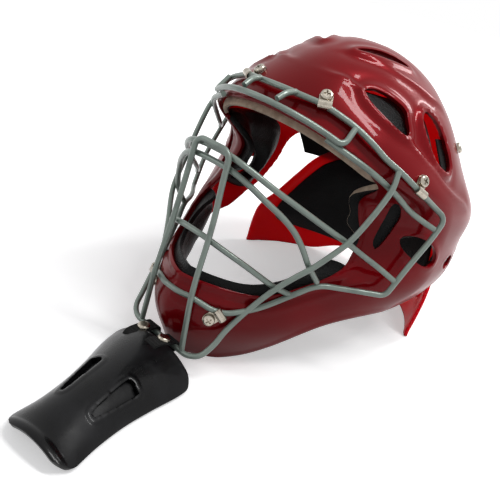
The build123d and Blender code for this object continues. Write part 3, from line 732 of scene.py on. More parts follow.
class FormSheet:
    """A clean sheet of faces on a curved form, cut along its outlines."""

    snap = 0.8

    def __init__(self, form: Form, keep: Callable[[Places], np.ndarray], columns: int, rows: int,
                 turns: tuple[float, float], sweeps: tuple[float, float]) -> None:
        """Lay the sheet and cut it.

        Args:
            form: Head places from two arrays of form coordinates.
            keep: How far inside the kept region each head place lies, in millimetres.
            columns: Faces along the first coordinate.
            rows: Faces along the second coordinate.
            turns: The first coordinate's range.
            sweeps: The second coordinate's range.
        """
        self.form, self.keep = form, keep
        self.mesh = bmesh.new()
        bmesh.ops.create_grid(self.mesh, x_segments=columns, y_segments=rows, size=1)
        spots = np.array([vert.co[:2] for vert in self.mesh.verts]) / 2 + 0.5
        self.first = turns[0] + spots[:, 0] * (turns[1] - turns[0])
        self.second = sweeps[0] + spots[:, 1] * (sweeps[1] - sweeps[0])
        self.layer = self.mesh.verts.layers.int.new("spot")
        places = form(self.first, self.second)
        for index, vert in enumerate(self.mesh.verts):
            vert[self.layer] = index
            vert.co = places[index]
        bmesh.ops.remove_doubles(self.mesh, verts=self.mesh.verts, dist=1e-3)
        self.cut()

    def order(self) -> np.ndarray:
        """Each vertex's row in the coordinate arrays."""
        return np.array([vert[self.layer] for vert in self.mesh.verts])

    def settle(self, rows: np.ndarray) -> np.ndarray:
        """Move the spots in some rows on to the outlines, along the form.

        Args:
            rows: The rows.

        Returns:
            Which rows now lie on an outline; the others stay where they were.
        """
        first, second = self.first[rows], self.second[rows]
        step = 1e-4 * max(abs(self.second.max() - self.second.min()), 1e-3)
        for _ in range(3):
            here = self.form(first, second)
            gap = self.keep(here)
            ahead, aside = self.form(first + step, second), self.form(first, second + step)
            slope = np.column_stack([self.keep(ahead) - gap, self.keep(aside) - gap]) / step
            along, across = (ahead - here) / step, (aside - here) / step
            metric = np.empty((len(rows), 2, 2))
            metric[:, 0, 0] = (along**2).sum(1) + 1e-6
            metric[:, 1, 1] = (across**2).sum(1) + 1e-6
            metric[:, 0, 1] = metric[:, 1, 0] = (along * across).sum(1)
            push = np.linalg.solve(metric, slope[:, :, None])[:, :, 0]
            scale = np.clip(gap / np.maximum((slope * push).sum(1), 0.2), -1.5, 1.5)
            first, second = first - push[:, 0] * scale, second - push[:, 1] * scale
        done = np.abs(self.keep(self.form(first, second))) < 0.1
        self.first[rows[done]], self.second[rows[done]] = first[done], second[done]
        return done

    def cross(self, edges: list[bmesh.types.BMEdge], gaps: np.ndarray) -> np.ndarray:
        """Split the edges that cross an outline where they meet it.

        Args:
            edges: The edges.
            gaps: How far inside the outlines each row lies.

        Returns:
            The gaps with a zero added for each new row.
        """
        rows = np.array([[vert[self.layer] for vert in edge.verts] for edge in edges])
        first, second = self.first[rows], self.second[rows]
        turn = np.round((first[:, 1] - first[:, 0]) / (2 * math.pi))
        first[:, 1] -= np.where(np.abs(first[:, 1] - first[:, 0]) > 3.0, turn * 2 * math.pi, 0)
        low, high = np.zeros(len(rows)), np.ones(len(rows))
        begins = gaps[rows[:, 0]] > 0
        for _ in range(9):
            share = (low + high) / 2
            spots = self.form(first[:, 0] + share * (first[:, 1] - first[:, 0]),
                              second[:, 0] + share * (second[:, 1] - second[:, 0]))
            same = (self.keep(spots) > 0) == begins
            low, high = np.where(same, share, low), np.where(same, high, share)
        share = (low + high) / 2
        count = len(self.first)
        self.first = np.append(self.first, first[:, 0] + share * (first[:, 1] - first[:, 0]))
        self.second = np.append(self.second, second[:, 0] + share * (second[:, 1] - second[:, 0]))
        for index, (edge, part) in enumerate(zip(edges, share)):
            vert = bmesh.utils.edge_split(edge, edge.verts[0], float(part))[1]
            vert[self.layer] = count + index
        return np.append(gaps, np.zeros(len(edges)))

    def part_faces(self, gaps: np.ndarray) -> None:
        """Split the faces that an outline passes through."""
        for face in list(self.mesh.faces):
            signs = [np.sign(gaps[vert[self.layer]]) for vert in face.verts]
            if min(signs) > -1 or max(signs) < 1:
                continue
            marks = []
            for index, sign in enumerate(signs):
                after = next(value for value in signs[index + 1:] + signs[:index + 1] if value)
                before = next(value for value in reversed(signs[index:] + signs[:index]) if value)
                if sign == 0 and before != after:
                    marks.append(index)
            for first, last in combinations(marks, 2):
                within, beyond = signs[first + 1:last], signs[last + 1:] + signs[:first]
                sides = [side for side in (within, beyond)
                         if side and min(side) * max(side) >= 0]
                if len(sides) == 2:
                    bmesh.utils.face_split(face, face.verts[first], face.verts[last])
                    break

    def cut(self) -> None:
        """Cut the sheet along its outlines and drop what lies outside them."""
        gaps = self.keep(self.form(self.first, self.second))
        near = np.array(sorted({vert[self.layer] for vert in self.mesh.verts
                                if abs(gaps[vert[self.layer]]) < self.snap}), int)
        if len(near):
            gaps[near[self.settle(near)]] = 0.0
        edges = [edge for edge in self.mesh.edges
                 if gaps[edge.verts[0][self.layer]] * gaps[edge.verts[1][self.layer]] < 0]
        if edges:
            gaps = self.cross(edges, gaps)
        self.part_faces(gaps)
        doomed = [face for face in self.mesh.faces
                  if sum(gaps[vert[self.layer]] for vert in face.verts) < 1e-9]
        bmesh.ops.delete(self.mesh, geom=doomed, context="FACES")
        rows = self.order()
        places = self.form(self.first[rows], self.second[rows])
        for vert, spot in zip(self.mesh.verts, places):
            vert.co = spot
        bmesh.ops.dissolve_degenerate(self.mesh, edges=self.mesh.edges, dist=0.05)

    def raised(self, height: Callable[[Places], np.ndarray]) -> None:
        """Raise the sheet along its outward normals by a height at each head place."""
        self.mesh.normal_update()
        places = np.array([vert.co for vert in self.mesh.verts])
        rises = height(places)
        for vert, rise in zip(self.mesh.verts, rises):
            vert.co += vert.normal * float(rise)

    def face_out(self, centre: Sequence[float] = (0.0, 10.0, 0.0)) -> None:
        """Turn all faces away from a head place."""
        middle = Vector(centre)
        self.mesh.normal_update()
        inward = sum(
            face.normal.dot(face.calc_center_median() - middle) * face.calc_area()
            for face in self.mesh.faces
        )
        if inward < 0:
            bmesh.ops.reverse_faces(self.mesh, faces=self.mesh.faces)
            self.mesh.normal_update()

    def to_row(self) -> None:
        """Move the sheet from the head frame to the row frame."""
        places = HEAD.to_row(np.array([vert.co for vert in self.mesh.verts]))
        for vert, spot in zip(self.mesh.verts, places):
            vert.co = spot


def finish_piece(mesh: bmesh.types.BMesh, name: str, body: Body,
                 materials: Sequence[bpy.types.Material], replaced: Sequence[str] = ()
                 ) -> bpy.types.Object:
    """Make a mesh a piece that rides on a body.

    Args:
        mesh: The mesh, in the row frame.
        name: The piece's name.
        body: The body that it rides on.
        materials: Its materials.
        replaced: The nodes that it stands for.

    Returns:
        The piece.
    """
    data = bpy.data.meshes.new(name)
    for face in mesh.faces:
        face.smooth = True
    mesh.to_mesh(data)
    mesh.free()
    piece = bpy.data.objects.new(name, data)
    bpy.context.scene.collection.objects.link(piece)
    for material in materials:
        data.materials.append(material)
    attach(piece, body.value)
    if replaced:
        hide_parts(*replaced)
    LOG.info("%s: %d faces", name, len(data.polygons))
    return piece


def thicken(piece: bpy.types.Object, thickness: float, group: str = "",
            inner: int = 0, rim: int = 0) -> None:
    """Give a sheet its wall, inwards from its faces.

    Args:
        piece: The piece.
        thickness: The wall in metres.
        group: A vertex group that scales the wall.
        inner: Material offset of the inner side.
        rim: Material offset of the rim.
    """
    wall = piece.modifiers.new("wall", "SOLIDIFY")
    wall.thickness = thickness
    wall.offset = -1
    wall.use_even_offset = False
    wall.material_offset = inner
    wall.material_offset_rim = rim
    if group:
        wall.vertex_group = group


def round_edges(piece: bpy.types.Object, width: float, segments: int = 2,
                angle: float = 40.0) -> None:
    """Round a piece's sharp edges.

    Args:
        piece: The piece.
        width: The bevel's width in metres.
        segments: Its segments.
        angle: The least angle between faces that is rounded, in degrees.
    """
    bevel = piece.modifiers.new("round_edges", "BEVEL")
    bevel.width = width
    bevel.segments = segments
    bevel.limit_method = "ANGLE"
    bevel.angle_limit = math.radians(angle)
    bevel.harden_normals = False


OPENING = SideOutline(
    smooth=((-1.04, 0.34), (-0.72, 0.18), (-0.60, 0.10), (-0.51, 0.05), (-0.45, 0.0),
            (-0.405, -0.07), (-0.38, -0.16), (-0.37, -0.26), (-0.37, -0.36), (-0.41, -0.46),
            (-0.50, -0.57), (-0.66, -0.68), (-0.78, -0.75), (-0.90, -0.82), (-1.06, -0.87),
            (-1.45, -0.86)),
    corners=((-2.2, -0.86), (-2.2, 0.42), (-1.45, 0.42)),
)
RIM = SideOutline(
    smooth=((-1.30, -1.62), (-1.10, -1.52), (-0.95, -1.45), (-0.86, -1.39), (-0.77, -1.275),
            (-0.71, -1.185), (-0.64, -1.105), (-0.55, -1.035), (-0.44, -0.985), (-0.29, -0.94),
            (-0.14, -0.91), (0.02, -0.885), (0.17, -0.85), (0.38, -0.75),
            (0.54, -0.66), (0.66, -0.54), (0.73, -0.38), (0.77, -0.20), (0.84, -0.07),
            (0.98, 0.0), (1.25, 0.04), (1.75, 0.06)),
    corners=((1.75, -2.4), (-1.30, -2.4)),
)
EAR_HOLE = SideOutline(
    smooth=((-0.20, -0.27), (-0.12, -0.24), (0.0, -0.27), (0.09, -0.35), (0.10, -0.42),
            (0.02, -0.45), (-0.10, -0.41), (-0.19, -0.34)),
    closed=True,
)
REAR_SLOT = SideOutline(
    smooth=((0.32, -0.43), (0.41, -0.39), (0.51, -0.43), (0.51, -0.49), (0.42, -0.51),
            (0.33, -0.48)),
    closed=True,
)
FRONT_VENT = FaceOutline((
    (0.41, -0.55, 0.61), (0.46, -0.46, 0.63), (0.60, -0.32, 0.57), (0.66, -0.31, 0.51),
    (0.73, -0.34, 0.42), (0.63, -0.48, 0.46), (0.48, -0.57, 0.54),
))
SIDE_VENT = FaceOutline((
    (0.66, -0.11, 0.57), (0.68, -0.03, 0.55), (0.74, 0.06, 0.48), (0.86, 0.13, 0.31),
    (0.92, 0.09, 0.23), (0.88, -0.06, 0.29), (0.79, -0.14, 0.40), (0.70, -0.16, 0.51),
))
TOP_VENT = FaceOutline((
    (0.14, -0.37, 0.82), (0.20, -0.34, 0.83), (0.31, -0.21, 0.83), (0.38, -0.04, 0.81),
    (0.32, -0.06, 0.83), (0.21, -0.21, 0.85),
))
TEMPLE_SLOT = FaceOutline((
    (0.82, -0.30, -0.04), (0.85, -0.245, -0.12), (0.84, -0.24, -0.20), (0.82, -0.27, -0.32),
    (0.795, -0.31, -0.405), (0.765, -0.33, -0.36), (0.755, -0.30, -0.26), (0.765, -0.29, -0.16),
    (0.785, -0.31, -0.07),
), 14.0)
VENTS = (FRONT_VENT, SIDE_VENT, TOP_VENT)


@dataclass
class FrontShell:
    """The one-piece moulded shell with its vents, beads and creases."""

    finishes: Finishes
    wall: float = 3.2
    rim_width: float = 1.1
    bead: float = 1.3
    flare: float = 4.2
    creases: tuple[Crease, ...] = (
        Crease(((0.20, -0.66, 0.66), (0.28, -0.60, 0.65), (0.41, -0.565, 0.60),
                (0.52, -0.54, 0.53), (0.67, -0.43, 0.435), (0.75, -0.33, 0.39),
                (0.82, -0.23, 0.32), (0.91, -0.09, 0.24), (0.96, 0.02, 0.17),
                (1.01, 0.18, 0.10), (1.04, 0.36, 0.05)), -2.6, 16.0, 0.9),
        Crease(((0.10, -0.46, 0.80), (0.24, -0.38, 0.79), (0.42, -0.22, 0.73),
                (0.56, 0.00, 0.65), (0.62, 0.25, 0.58)), 2.0, 18.0),
    )

    def keep(self, places: Places) -> np.ndarray:
        """How far inside the shell's outline each head place lies."""
        gaps = [OPENING.gap(places), RIM.gap(places), EAR_HOLE.gap(places),
                REAR_SLOT.gap(places)]
        gaps += [vent.gap(places) for vent in (*VENTS, TEMPLE_SLOT)]
        floor = HEAD.to_row(places)[:, 2] / MM
        return np.min(gaps + [floor], axis=0)

    def height(self, places: Places) -> np.ndarray:
        """How far the moulded detail stands out at each head place."""
        rise = np.zeros(len(places))
        for vent, bead in ((FRONT_VENT, 0.9), (SIDE_VENT, 2.4), (TOP_VENT, 0.9)):
            gap = vent.gap(places)
            rise += bead * bell(gap, 2.2, 2.6) - 0.5 * bell(gap, 9, 4)
        along, up = places[:, 1], places[:, 2]
        rise += self.flare * bell(along, 60, 36) * bell(up, -11, 17)
        rise += 0.7 * bell(EAR_HOLE.gap(places), 1.5, 1.8)
        rise += 0.5 * bell(REAR_SLOT.gap(places), 1.2, 1.6)
        gap = OPENING.gap(places)
        chin = ramp((-62 - places[:, 2]) / 5)
        rise += self.bead * bell(gap, 2.2, 1.8)
        rise += chin * (0.9 * bell(gap, 10, 2.2) - 0.8 * bell(gap, 6, 2))
        rise += 0.8 * bell(RIM.gap(places), 2.0, 2.0)
        for crease in self.creases:
            rise += crease.rise(places)
        return rise

    def build(self) -> None:
        """Build the shell."""
        sheet = FormSheet(HEAD.shell, self.keep, 260, 140, (-math.pi, math.pi),
                          (-0.52, math.pi / 2))
        sheet.face_out()
        sheet.raised(self.height)
        sheet.to_row()
        piece = finish_piece(sheet.mesh, "shell", Body.HELMET,
                             (self.finishes.shell, self.finishes.inner_shell), ("front_shell",))
        # The inner side takes the brighter copy of the red: painted light through the plastic.
        thicken(piece, self.wall * MM, inner=1)
        round_edges(piece, self.rim_width * MM)


@dataclass
class NapePlate:
    """The sliding nape plate and its ribbed pad."""

    finishes: Finishes
    wall: float = 3.0
    pad_thickness: float = 11.0
    arch: float = 14.0
    flutes: int = 4
    outline: SideOutline = SideOutline(
        smooth=((1.60, -0.05), (1.18, -0.09), (1.07, -0.14), (0.98, -0.28), (0.90, -0.48),
                (0.79, -0.70), (0.68, -0.84), (0.63, -1.00), (0.61, -1.50)),
        corners=((1.60, -1.50),),
    )
    pad_outline: SideOutline = SideOutline(
        smooth=((1.60, -0.13), (1.18, -0.16), (1.05, -0.26), (0.98, -0.42), (0.90, -0.62),
                (0.82, -0.80), (0.80, -0.92), (0.86, -0.99), (1.05, -1.01)),
        corners=((1.60, -1.01),),
    )

    def keep(self, places: Places) -> np.ndarray:
        """How far inside the plate's outline each head place lies."""
        floor = HEAD.to_row(places)[:, 2] / MM - self.arch * np.exp(-(places[:, 0] / 42)**4)
        return np.minimum(-self.outline.gap(places), floor)

    def height(self, places: Places) -> np.ndarray:
        """The rolled edge and the two shallow channels of the plate."""
        gap = -self.outline.gap(places)
        floor = HEAD.to_row(places)[:, 2] / MM
        rise = 1.4 * bell(gap, 0, 3.0) + 0.8 * bell(floor, 0, 3.0)
        channels = ramp((np.cos((places[:, 2] + 60) / 14) - 0.6) / 0.1)
        return rise - 0.7 * channels * ramp((gap - 9) / 2) * ramp((floor - 9) / 2)

    def pad_keep(self, places: Places) -> np.ndarray:
        """How far inside the pad's outline each head place lies."""
        return -self.pad_outline.gap(places)

    def build(self) -> None:
        """Build the plate and its pad."""
        back = (math.pi - 1.75, math.pi + 1.75)
        sheet = FormSheet(HEAD.nape, self.keep, 150, 64, back, (-150.0, 2.0))
        sheet.face_out()
        sheet.raised(self.height)
        sheet.to_row()
        # The plate's red is a brighter copy of the shell's: painted light through the plastic.
        plate = finish_piece(sheet.mesh, "nape_shell", Body.NAPE,
                             (self.finishes.nape,), ("nape_plate",))
        thicken(plate, self.wall * MM)
        round_edges(plate, 0.9 * MM)

        pad = Pad("nape_padding", "nape_pad", Body.NAPE, self.finishes, self.pad_keep,
                  lambda turn, level: HEAD.nape(turn, level, self.wall + 0.5),
                  self.pad_thickness, (math.pi - 1.35, math.pi + 1.35), (-116.0, -6.0), 110, 50,
                  flute=lambda places: 1.6 * np.abs(np.cos(
                      self.flutes * np.arctan2(places[:, 0], places[:, 1])))**6)
        pad.build()


@dataclass
class Pad:
    """A foam pad under a vinyl cover, crowned between its edges."""

    name: str
    node: str
    body: Body
    finishes: Finishes
    keep: Callable[[Places], np.ndarray]
    form: Form
    thickness: float
    turns: tuple[float, float]
    sweeps: tuple[float, float]
    columns: int
    rows: int
    hem: float = 3.0
    shoulder: float = 9.0
    flute: Callable[[Places], np.ndarray] | None = None
    fill: float = 0.7
    back_foam: float = 0.0
    rim_foam: bool = False

    def build(self) -> bpy.types.Object:
        """Build the pad and return its piece."""
        sheet = FormSheet(self.form, self.keep, self.columns, self.rows, self.turns, self.sweeps)
        sheet.face_out()
        sheet.mesh.verts.index_update()
        places = np.array([vert.co for vert in sheet.mesh.verts])
        gaps = np.maximum(self.keep(places), 0)
        crown = 1 - np.exp(-(gaps / self.shoulder)**1.4)
        depth = self.hem + (self.thickness - self.hem) * crown
        pucker = np.sin(places[:, 0] / 5.1) * np.sin(places[:, 1] / 6.3 + places[:, 2] / 7.7)
        depth -= 0.35 * crown * (1 + pucker)
        if self.flute:
            depth -= self.flute(places) * crown
        if self.back_foam:
            reach = OPENING.gap(places)
            for face in sheet.mesh.faces:
                nearest = min(reach[vert.index] for vert in face.verts)
                face.material_index = int(nearest > self.back_foam)
        sheet.to_row()
        back = self.finishes.foam if self.back_foam else self.finishes.cover
        rim = self.finishes.foam if self.rim_foam else self.finishes.cover
        piece = finish_piece(sheet.mesh, self.name, self.body,
                             (back, self.finishes.cover, rim), (self.node,))
        group = piece.vertex_groups.new(name="crown")
        for index, value in enumerate(depth / self.thickness):
            group.add([index], float(value), "REPLACE")
        thicken(piece, self.thickness * MM, group="crown", inner=1, rim=2)
        round_edges(piece, 1.0 * MM, angle=50)
        return piece


@dataclass
class Padding:
    """The pads inside the shell."""

    finishes: Finishes
    inset: float = 3.7
    brow: SideOutline = SideOutline(
        smooth=((-1.30, 0.32), (-1.04, 0.297), (-0.72, 0.137), (-0.60, 0.082), (-0.54, 0.07),
                (-0.48, 0.09), (-0.40, 0.13), (-0.28, 0.15), (-0.12, 0.19), (-0.03, 0.27),
                (-0.025, 0.40), (-0.05, 0.54), (-0.16, 0.64), (-0.40, 0.66), (-0.58, 0.655),
                (-0.80, 0.65), (-1.20, 0.65)),
        closed=True,
    )
    side: SideOutline = SideOutline(
        smooth=((-0.378, -0.15), (-0.362, -0.23), (-0.37, -0.32), (-0.32, -0.41), (-0.24, -0.50),
                (-0.10, -0.58), (0.10, -0.64), (0.24, -0.68), (0.36, -0.68), (0.48, -0.58),
                (0.57, -0.42), (0.60, -0.20), (0.52, -0.02), (0.30, 0.06), (0.0, 0.07),
                (-0.22, 0.08), (-0.38, 0.075), (-0.455, 0.055), (-0.46, 0.01), (-0.41, -0.07)),
        closed=True,
    )
    ear: SideOutline = SideOutline(
        smooth=((-0.17, -0.30), (0.0, -0.235), (0.24, -0.26), (0.38, -0.34), (0.40, -0.46),
                (0.30, -0.55), (0.12, -0.56), (-0.06, -0.50), (-0.15, -0.41)),
        closed=True,
    )
    jaw: SideOutline = SideOutline(
        smooth=((-1.50, -0.80), (-1.20, -0.825), (-1.04, -0.82), (-0.90, -0.77),
                (-0.78, -0.70), (-0.66, -0.63), (-0.54, -0.565), (-0.44, -0.58),
                (-0.38, -0.72), (-0.42, -0.90), (-0.55, -1.02), (-0.78, -1.09),
                (-0.97, -1.22), (-1.20, -1.38), (-1.50, -1.40)),
    )

    def form(self, turn: np.ndarray, sweep: np.ndarray) -> Places:
        """The inner side of the shell, where the pads lie."""
        return HEAD.shell(turn, sweep, self.inset)

    def side_keep(self, places: Places) -> np.ndarray:
        """How far inside a side pad's outline each head place lies."""
        return np.minimum(-self.side.gap(places), self.ear.gap(places))

    def crown_keep(self, places: Places) -> np.ndarray:
        """How far inside the crown pad's outline each head place lies."""
        return np.min([places[:, 2] - 66] + [vent.gap(places) for vent in VENTS], axis=0)

    def build(self) -> None:
        """Build the pads."""
        Pad("brow_padding", "brow_pad", Body.HELMET, self.finishes,
            lambda places: -self.brow.gap(places), self.form, 10.0, (-1.5, 1.5), (0.40, 0.98),
            120, 46, back_foam=12.0, rim_foam=True, fill=0.8).build()
        for name, middle in (("left", math.pi / 2), ("right", -math.pi / 2)):
            Pad(f"{name}_side_padding", f"side_pad_{name}", Body.HELMET, self.finishes,
                self.side_keep, self.form, 13.0, (middle - 1.1, middle + 1.1), (0.04, 0.64),
                90, 52, hem=4.5, shoulder=6.0, rim_foam=name == "left").build()
        Pad("jaw_padding", "jaw_pad", Body.HELMET, self.finishes,
            lambda places: -self.jaw.gap(places), self.form, 14.0, (-1.5, 1.5), (-0.42, 0.22),
            120, 52, shoulder=7.0).build()
        Pad("crown_padding", "crown_pad", Body.HELMET, self.finishes, self.crown_keep,
            self.form, 11.0, (-math.pi, math.pi), (1.0, math.pi / 2), 120, 28).build()


@dataclass
class ElasticStraps:
    """The three elastic straps between shell and nape plate."""

    finishes: Finishes
    width: float = 34.0
    thickness: float = 1.3
    gap: float = 0.3
    across: tuple[float, ...] = (78.0, 79.0, 78.5, 76.0, 71.5, 67.0)
    side_levels: tuple[float, ...] = (42.0, 30.0, 16.0, 6.0, -10.0, -24.0)
    top_levels: tuple[float, ...] = (50.0, 36.0, 20.0, 7.0, -9.0, -24.0)

    def form(self, hand: int, levels: tuple[float, ...]) -> Form:
        """The outer side of one strap.

        Args:
            hand: 1 for the left strap, -1 for the right one, 0 for the top one.
            levels: Its levels from top to bottom.

        Returns:
            The strap's form over its width and its length.
        """
        run = np.linspace(0, 1, len(levels))

        def place(width_share: np.ndarray, run_share: np.ndarray) -> Places:
            """A strap's places on the head."""
            level = np.interp(run_share, run, levels)
            middle = hand * np.interp(run_share, run, self.across)
            across = middle + width_share * self.width / 2
            sweep = np.arcsin((level + HEAD.widest_drop) / HEAD.rise)
            half = HEAD.shell(np.full_like(level, math.pi / 2), sweep)[:, 0]
            turn = math.pi - np.arcsin(power(np.clip(across / half, -1, 1), 1.1))
            under = 3.2 + 2 * self.gap
            upper = HEAD.shell(turn, sweep)
            upper[:, :2] *= ((half - under) / half)[:, None]
            lower = HEAD.nape(turn, level, -self.gap - self.thickness)
            share = ramp((level + 2) / 3)[:, None]
            blended = lower * (1 - share) + upper * share
            blended[:, 2] = level
            return blended

        return place

    def build(self) -> None:
        """Build the straps."""
        for name, hand, levels in (("left", 1, self.side_levels), ("right", -1, self.side_levels),
                                   ("top", 0, self.top_levels)):
            sheet = FormSheet(self.form(hand, levels), lambda places: np.full(len(places), 50.0),
                              14, 50, (-1.0, 1.0), (0.0, 1.0))
            sheet.face_out()
            sheet.to_row()
            piece = finish_piece(sheet.mesh, f"{name}_elastic", Body.NAPE,
                                 (self.finishes.elastic,), (f"{name}_strap",))
            thicken(piece, self.thickness * MM)
            round_edges(piece, 0.3 * MM)


@dataclass
class ThroatGuard:
    """The arched throat guard with its flared lip and slots."""

    finishes: Finishes
    skew: float = math.radians(14.0)
    shift: float = 6.0
    length: float = 110.0
    width: float = 70.0
    height: float = 17.0
    wall: float = 3.0
    top_setback: float = -24.0
    shear: float = 0.14
    runs: tuple[float, ...] = (0.0, 0.15, 0.35, 0.55, 0.75, 0.90, 1.0)
    widths: tuple[float, ...] = (1.0, 0.94, 0.79, 0.68, 0.66, 0.70, 0.72)
    heights: tuple[float, ...] = (1.0, 1.02, 0.98, 0.88, 0.70, 0.56, 0.54)
    slot: SideOutline = SideOutline(
        smooth=((0.105, 0.42), (0.185, 0.41), (0.195, 0.45), (0.145, 0.73), (0.125, 0.76),
                (0.105, 0.74), (0.100, 0.60)),
        closed=True,
    )

    def form(self, share: np.ndarray, run: np.ndarray) -> Places:
        """The guard's outer side, in millimetres in its own frame."""
        smooth = catmull(list(zip(self.runs, self.widths, self.heights)), False)
        half = self.width / 2 * np.interp(run, smooth[:, 0], smooth[:, 1])
        rise = self.height * np.interp(run, smooth[:, 0], smooth[:, 2])
        radius = (half**2 + rise**2) / (2 * rise)
        spread_angle = np.arcsin(np.clip(half / radius, -1, 1))
        angle = share * spread_angle
        up = rise - radius + radius * np.cos(angle)
        return np.column_stack([radius * np.sin(angle), run * self.length, up])

    def slot_gap(self, places: Places) -> np.ndarray:
        """The distance of the guard's places from its slots."""
        return self.slot.gap(np.abs(places) @ np.array([[0, 1.0, 0], [0, 0, 1.0], [0, 0, 0]]))

    def keep(self, places: Places) -> np.ndarray:
        """How far inside the guard's outline each of its places lies."""
        x, y = np.abs(places[:, 0]), places[:, 1]
        smooth = catmull(list(zip(self.runs, self.widths)), False)
        half = self.width / 2 * np.interp(y / self.length, smooth[:, 0], smooth[:, 1])
        edges = [self.slot_gap(places)]
        for end, corner in ((self.length - y, 11.0), (y, 8.0)):
            over_x, over_y = x - (half - corner), corner - end
            at_corner = (over_x > 0) & (over_y > 0)
            edges.append(np.where(at_corner, corner - np.hypot(over_x, over_y), 50.0))
        return np.min(edges, axis=0)

    def lip(self, places: Places) -> np.ndarray:
        """The bead along the guard's ends, and the raised edge of its slots."""
        y = places[:, 1]
        rise = 1.1 * bell(self.length - y, 2.0, 2.5) + 0.2 * bell(y, 1.5, 2.0)
        return rise + 0.5 * bell(self.slot_gap(places), 1.0, 1.2)

    def slot_shade_sheet(self) -> bmesh.types.BMesh:
        """A dark sheet under the slots: painted shade that keeps the lit floor from showing
        through them.
        """
        sheet = FormSheet(self.form, lambda places: 4.0 - self.slot_gap(places), 40, 60,
                          (-1.0, 1.0), (0.2, 0.95))
        sheet.face_out((0.0, self.length / 2, -40.0))
        sheet.raised(lambda places: np.full(len(places), -self.wall - 0.1))
        return sheet.mesh

    def build(self) -> None:
        """Build the guard."""
        sheet = FormSheet(self.form, self.keep, 64, 100, (-1.0, 1.0), (0.0, 1.0))
        sheet.face_out((0.0, self.length / 2, -40.0))
        sheet.raised(self.lip)
        # A sheet of the guard's black under the slots: painted shade where the real guard has
        # nothing.
        slot_shade_mesh = bpy.data.meshes.new("slot_shade_mesh")
        self.slot_shade_sheet().to_mesh(slot_shade_mesh)
        sheet.mesh.from_mesh(slot_shade_mesh)
        bpy.data.meshes.remove(slot_shade_mesh)
        places = np.array([vert.co for vert in sheet.mesh.verts])
        x, run, up = places.T
        run = run + self.shear * x
        row = MM * np.column_stack([
            self.shift + x * math.cos(self.skew) + run * math.sin(self.skew),
            self.top_setback + x * math.sin(self.skew) - run * math.cos(self.skew),
            np.maximum(up, 0.0),
        ])
        for vert, spot in zip(sheet.mesh.verts, row):
            vert.co = spot
        piece = finish_piece(sheet.mesh, "guard_plate", Body.GUARD,
                             (self.finishes.guard,), ("throat_guard",))
        thicken(piece, self.wall * MM)
        round_edges(piece, 1.0 * MM)


@dataclass
class GuardStraps:
    """The two strap loops that hold the throat guard on the chin wire."""

    finishes: Finishes
    width: float = 11.0
    wire: tuple[float, float] = (-13.9, 13.6)
    reach: float = 3.3
    edge: float = -30.2
    edge_reach: float = 5.0
    levels: tuple[float, float] = (15.45, 11.95)

    def build(self) -> None:
        """Build both loops."""
        y, z = self.wire
        for name, x, level in (("left", 10.0, self.levels[0]), ("right", -10.0, self.levels[1])):
            far, near, bow = self.edge_reach, self.reach, 0.25 * self.edge_reach
            route = (
                (x, y + near, z), (x, y + 0.6 * near, z + 0.85 * near),
                (x, y - 2.0, z + near + 0.3),
                (x, (y + self.edge) / 2, (z + near + level + far) / 2 + bow * 0.1),
                (x, self.edge, level + far), (x, self.edge - 0.75 * far, level + 0.7 * far),
                (x, self.edge - far, level), (x, self.edge - 0.7 * far, level - 0.75 * far),
                (x, self.edge, level - far),
                (x, (y + self.edge) / 2, (z - near + level - far) / 2),
                (x, y, z - near), (x, y + 0.75 * near, z - 0.7 * near),
            )
            StrapLoop(f"{name}_guard_strap", f"guard_strap_{name}", self.finishes, route,
                      self.width, (1.0, 0.0, 0.0)).build()


@dataclass
class StrapLoop:
    """A flat strap loop that holds the throat guard on the chin wire."""

    name: str
    node: str
    finishes: Finishes
    route: tuple[tuple[float, float, float], ...]
    width: float
    across: tuple[float, float, float]
    thickness: float = 1.6
    closed: bool = True

    def build(self) -> None:
        """Build the loop as a band that is swept along its route."""
        line = catmull(self.route, self.closed, 12)
        mesh = bmesh.new()
        side = Vector(self.across).normalized() * self.width / 2
        rails = []
        for offset in (-1.0, -0.9, 0.0, 0.9, 1.0):
            rails.append([mesh.verts.new(Vector(spot) + side * offset) for spot in line])
        edges = []
        for rail in rails:
            pairs = list(zip(rail, rail[1:] + rail[:1] if self.closed else rail[1:]))
            edges.append([mesh.edges.new(pair) for pair in pairs])
        for first, second in zip(edges, edges[1:]):
            bmesh.ops.bridge_loops(mesh, edges=first + second)
        bmesh.ops.scale(mesh, vec=(MM, MM, MM), verts=mesh.verts)
        bmesh.ops.recalc_face_normals(mesh, faces=mesh.faces)
        piece = finish_piece(mesh, self.name, Body.GUARD, (self.finishes.strap,),
                             (self.node,))
        wall = piece.modifiers.new("wall", "SOLIDIFY")
        wall.thickness = self.thickness * MM
        wall.offset = 0
        round_edges(piece, 0.35 * MM)


def dress_nodes(frame: dict, finishes: Finishes) -> None:
    """Give every carried-over node its finish.

    Args:
        frame: The loaded frame.
        finishes: The finishes.
    """
    slots = {part["node"]: part["material_slot"] for part in frame["record"]["subparts"]}
    by_slot = {
        Slot.SHELL.value: finishes.shell, Slot.WIRE.value: finishes.wire,
        Slot.NICKEL.value: finishes.nickel, Slot.PADDING.value: finishes.cover,
        Slot.ELASTIC.value: finishes.elastic, Slot.STRAP.value: finishes.strap,
        Slot.BLACK.value: finishes.guard,
    }
    for name, item in frame["nodes"].items():
        item.data.materials.clear()
        item.data.materials.append(by_slot[slots[name]])
        LOG.info("%s keeps its node's shape", name)


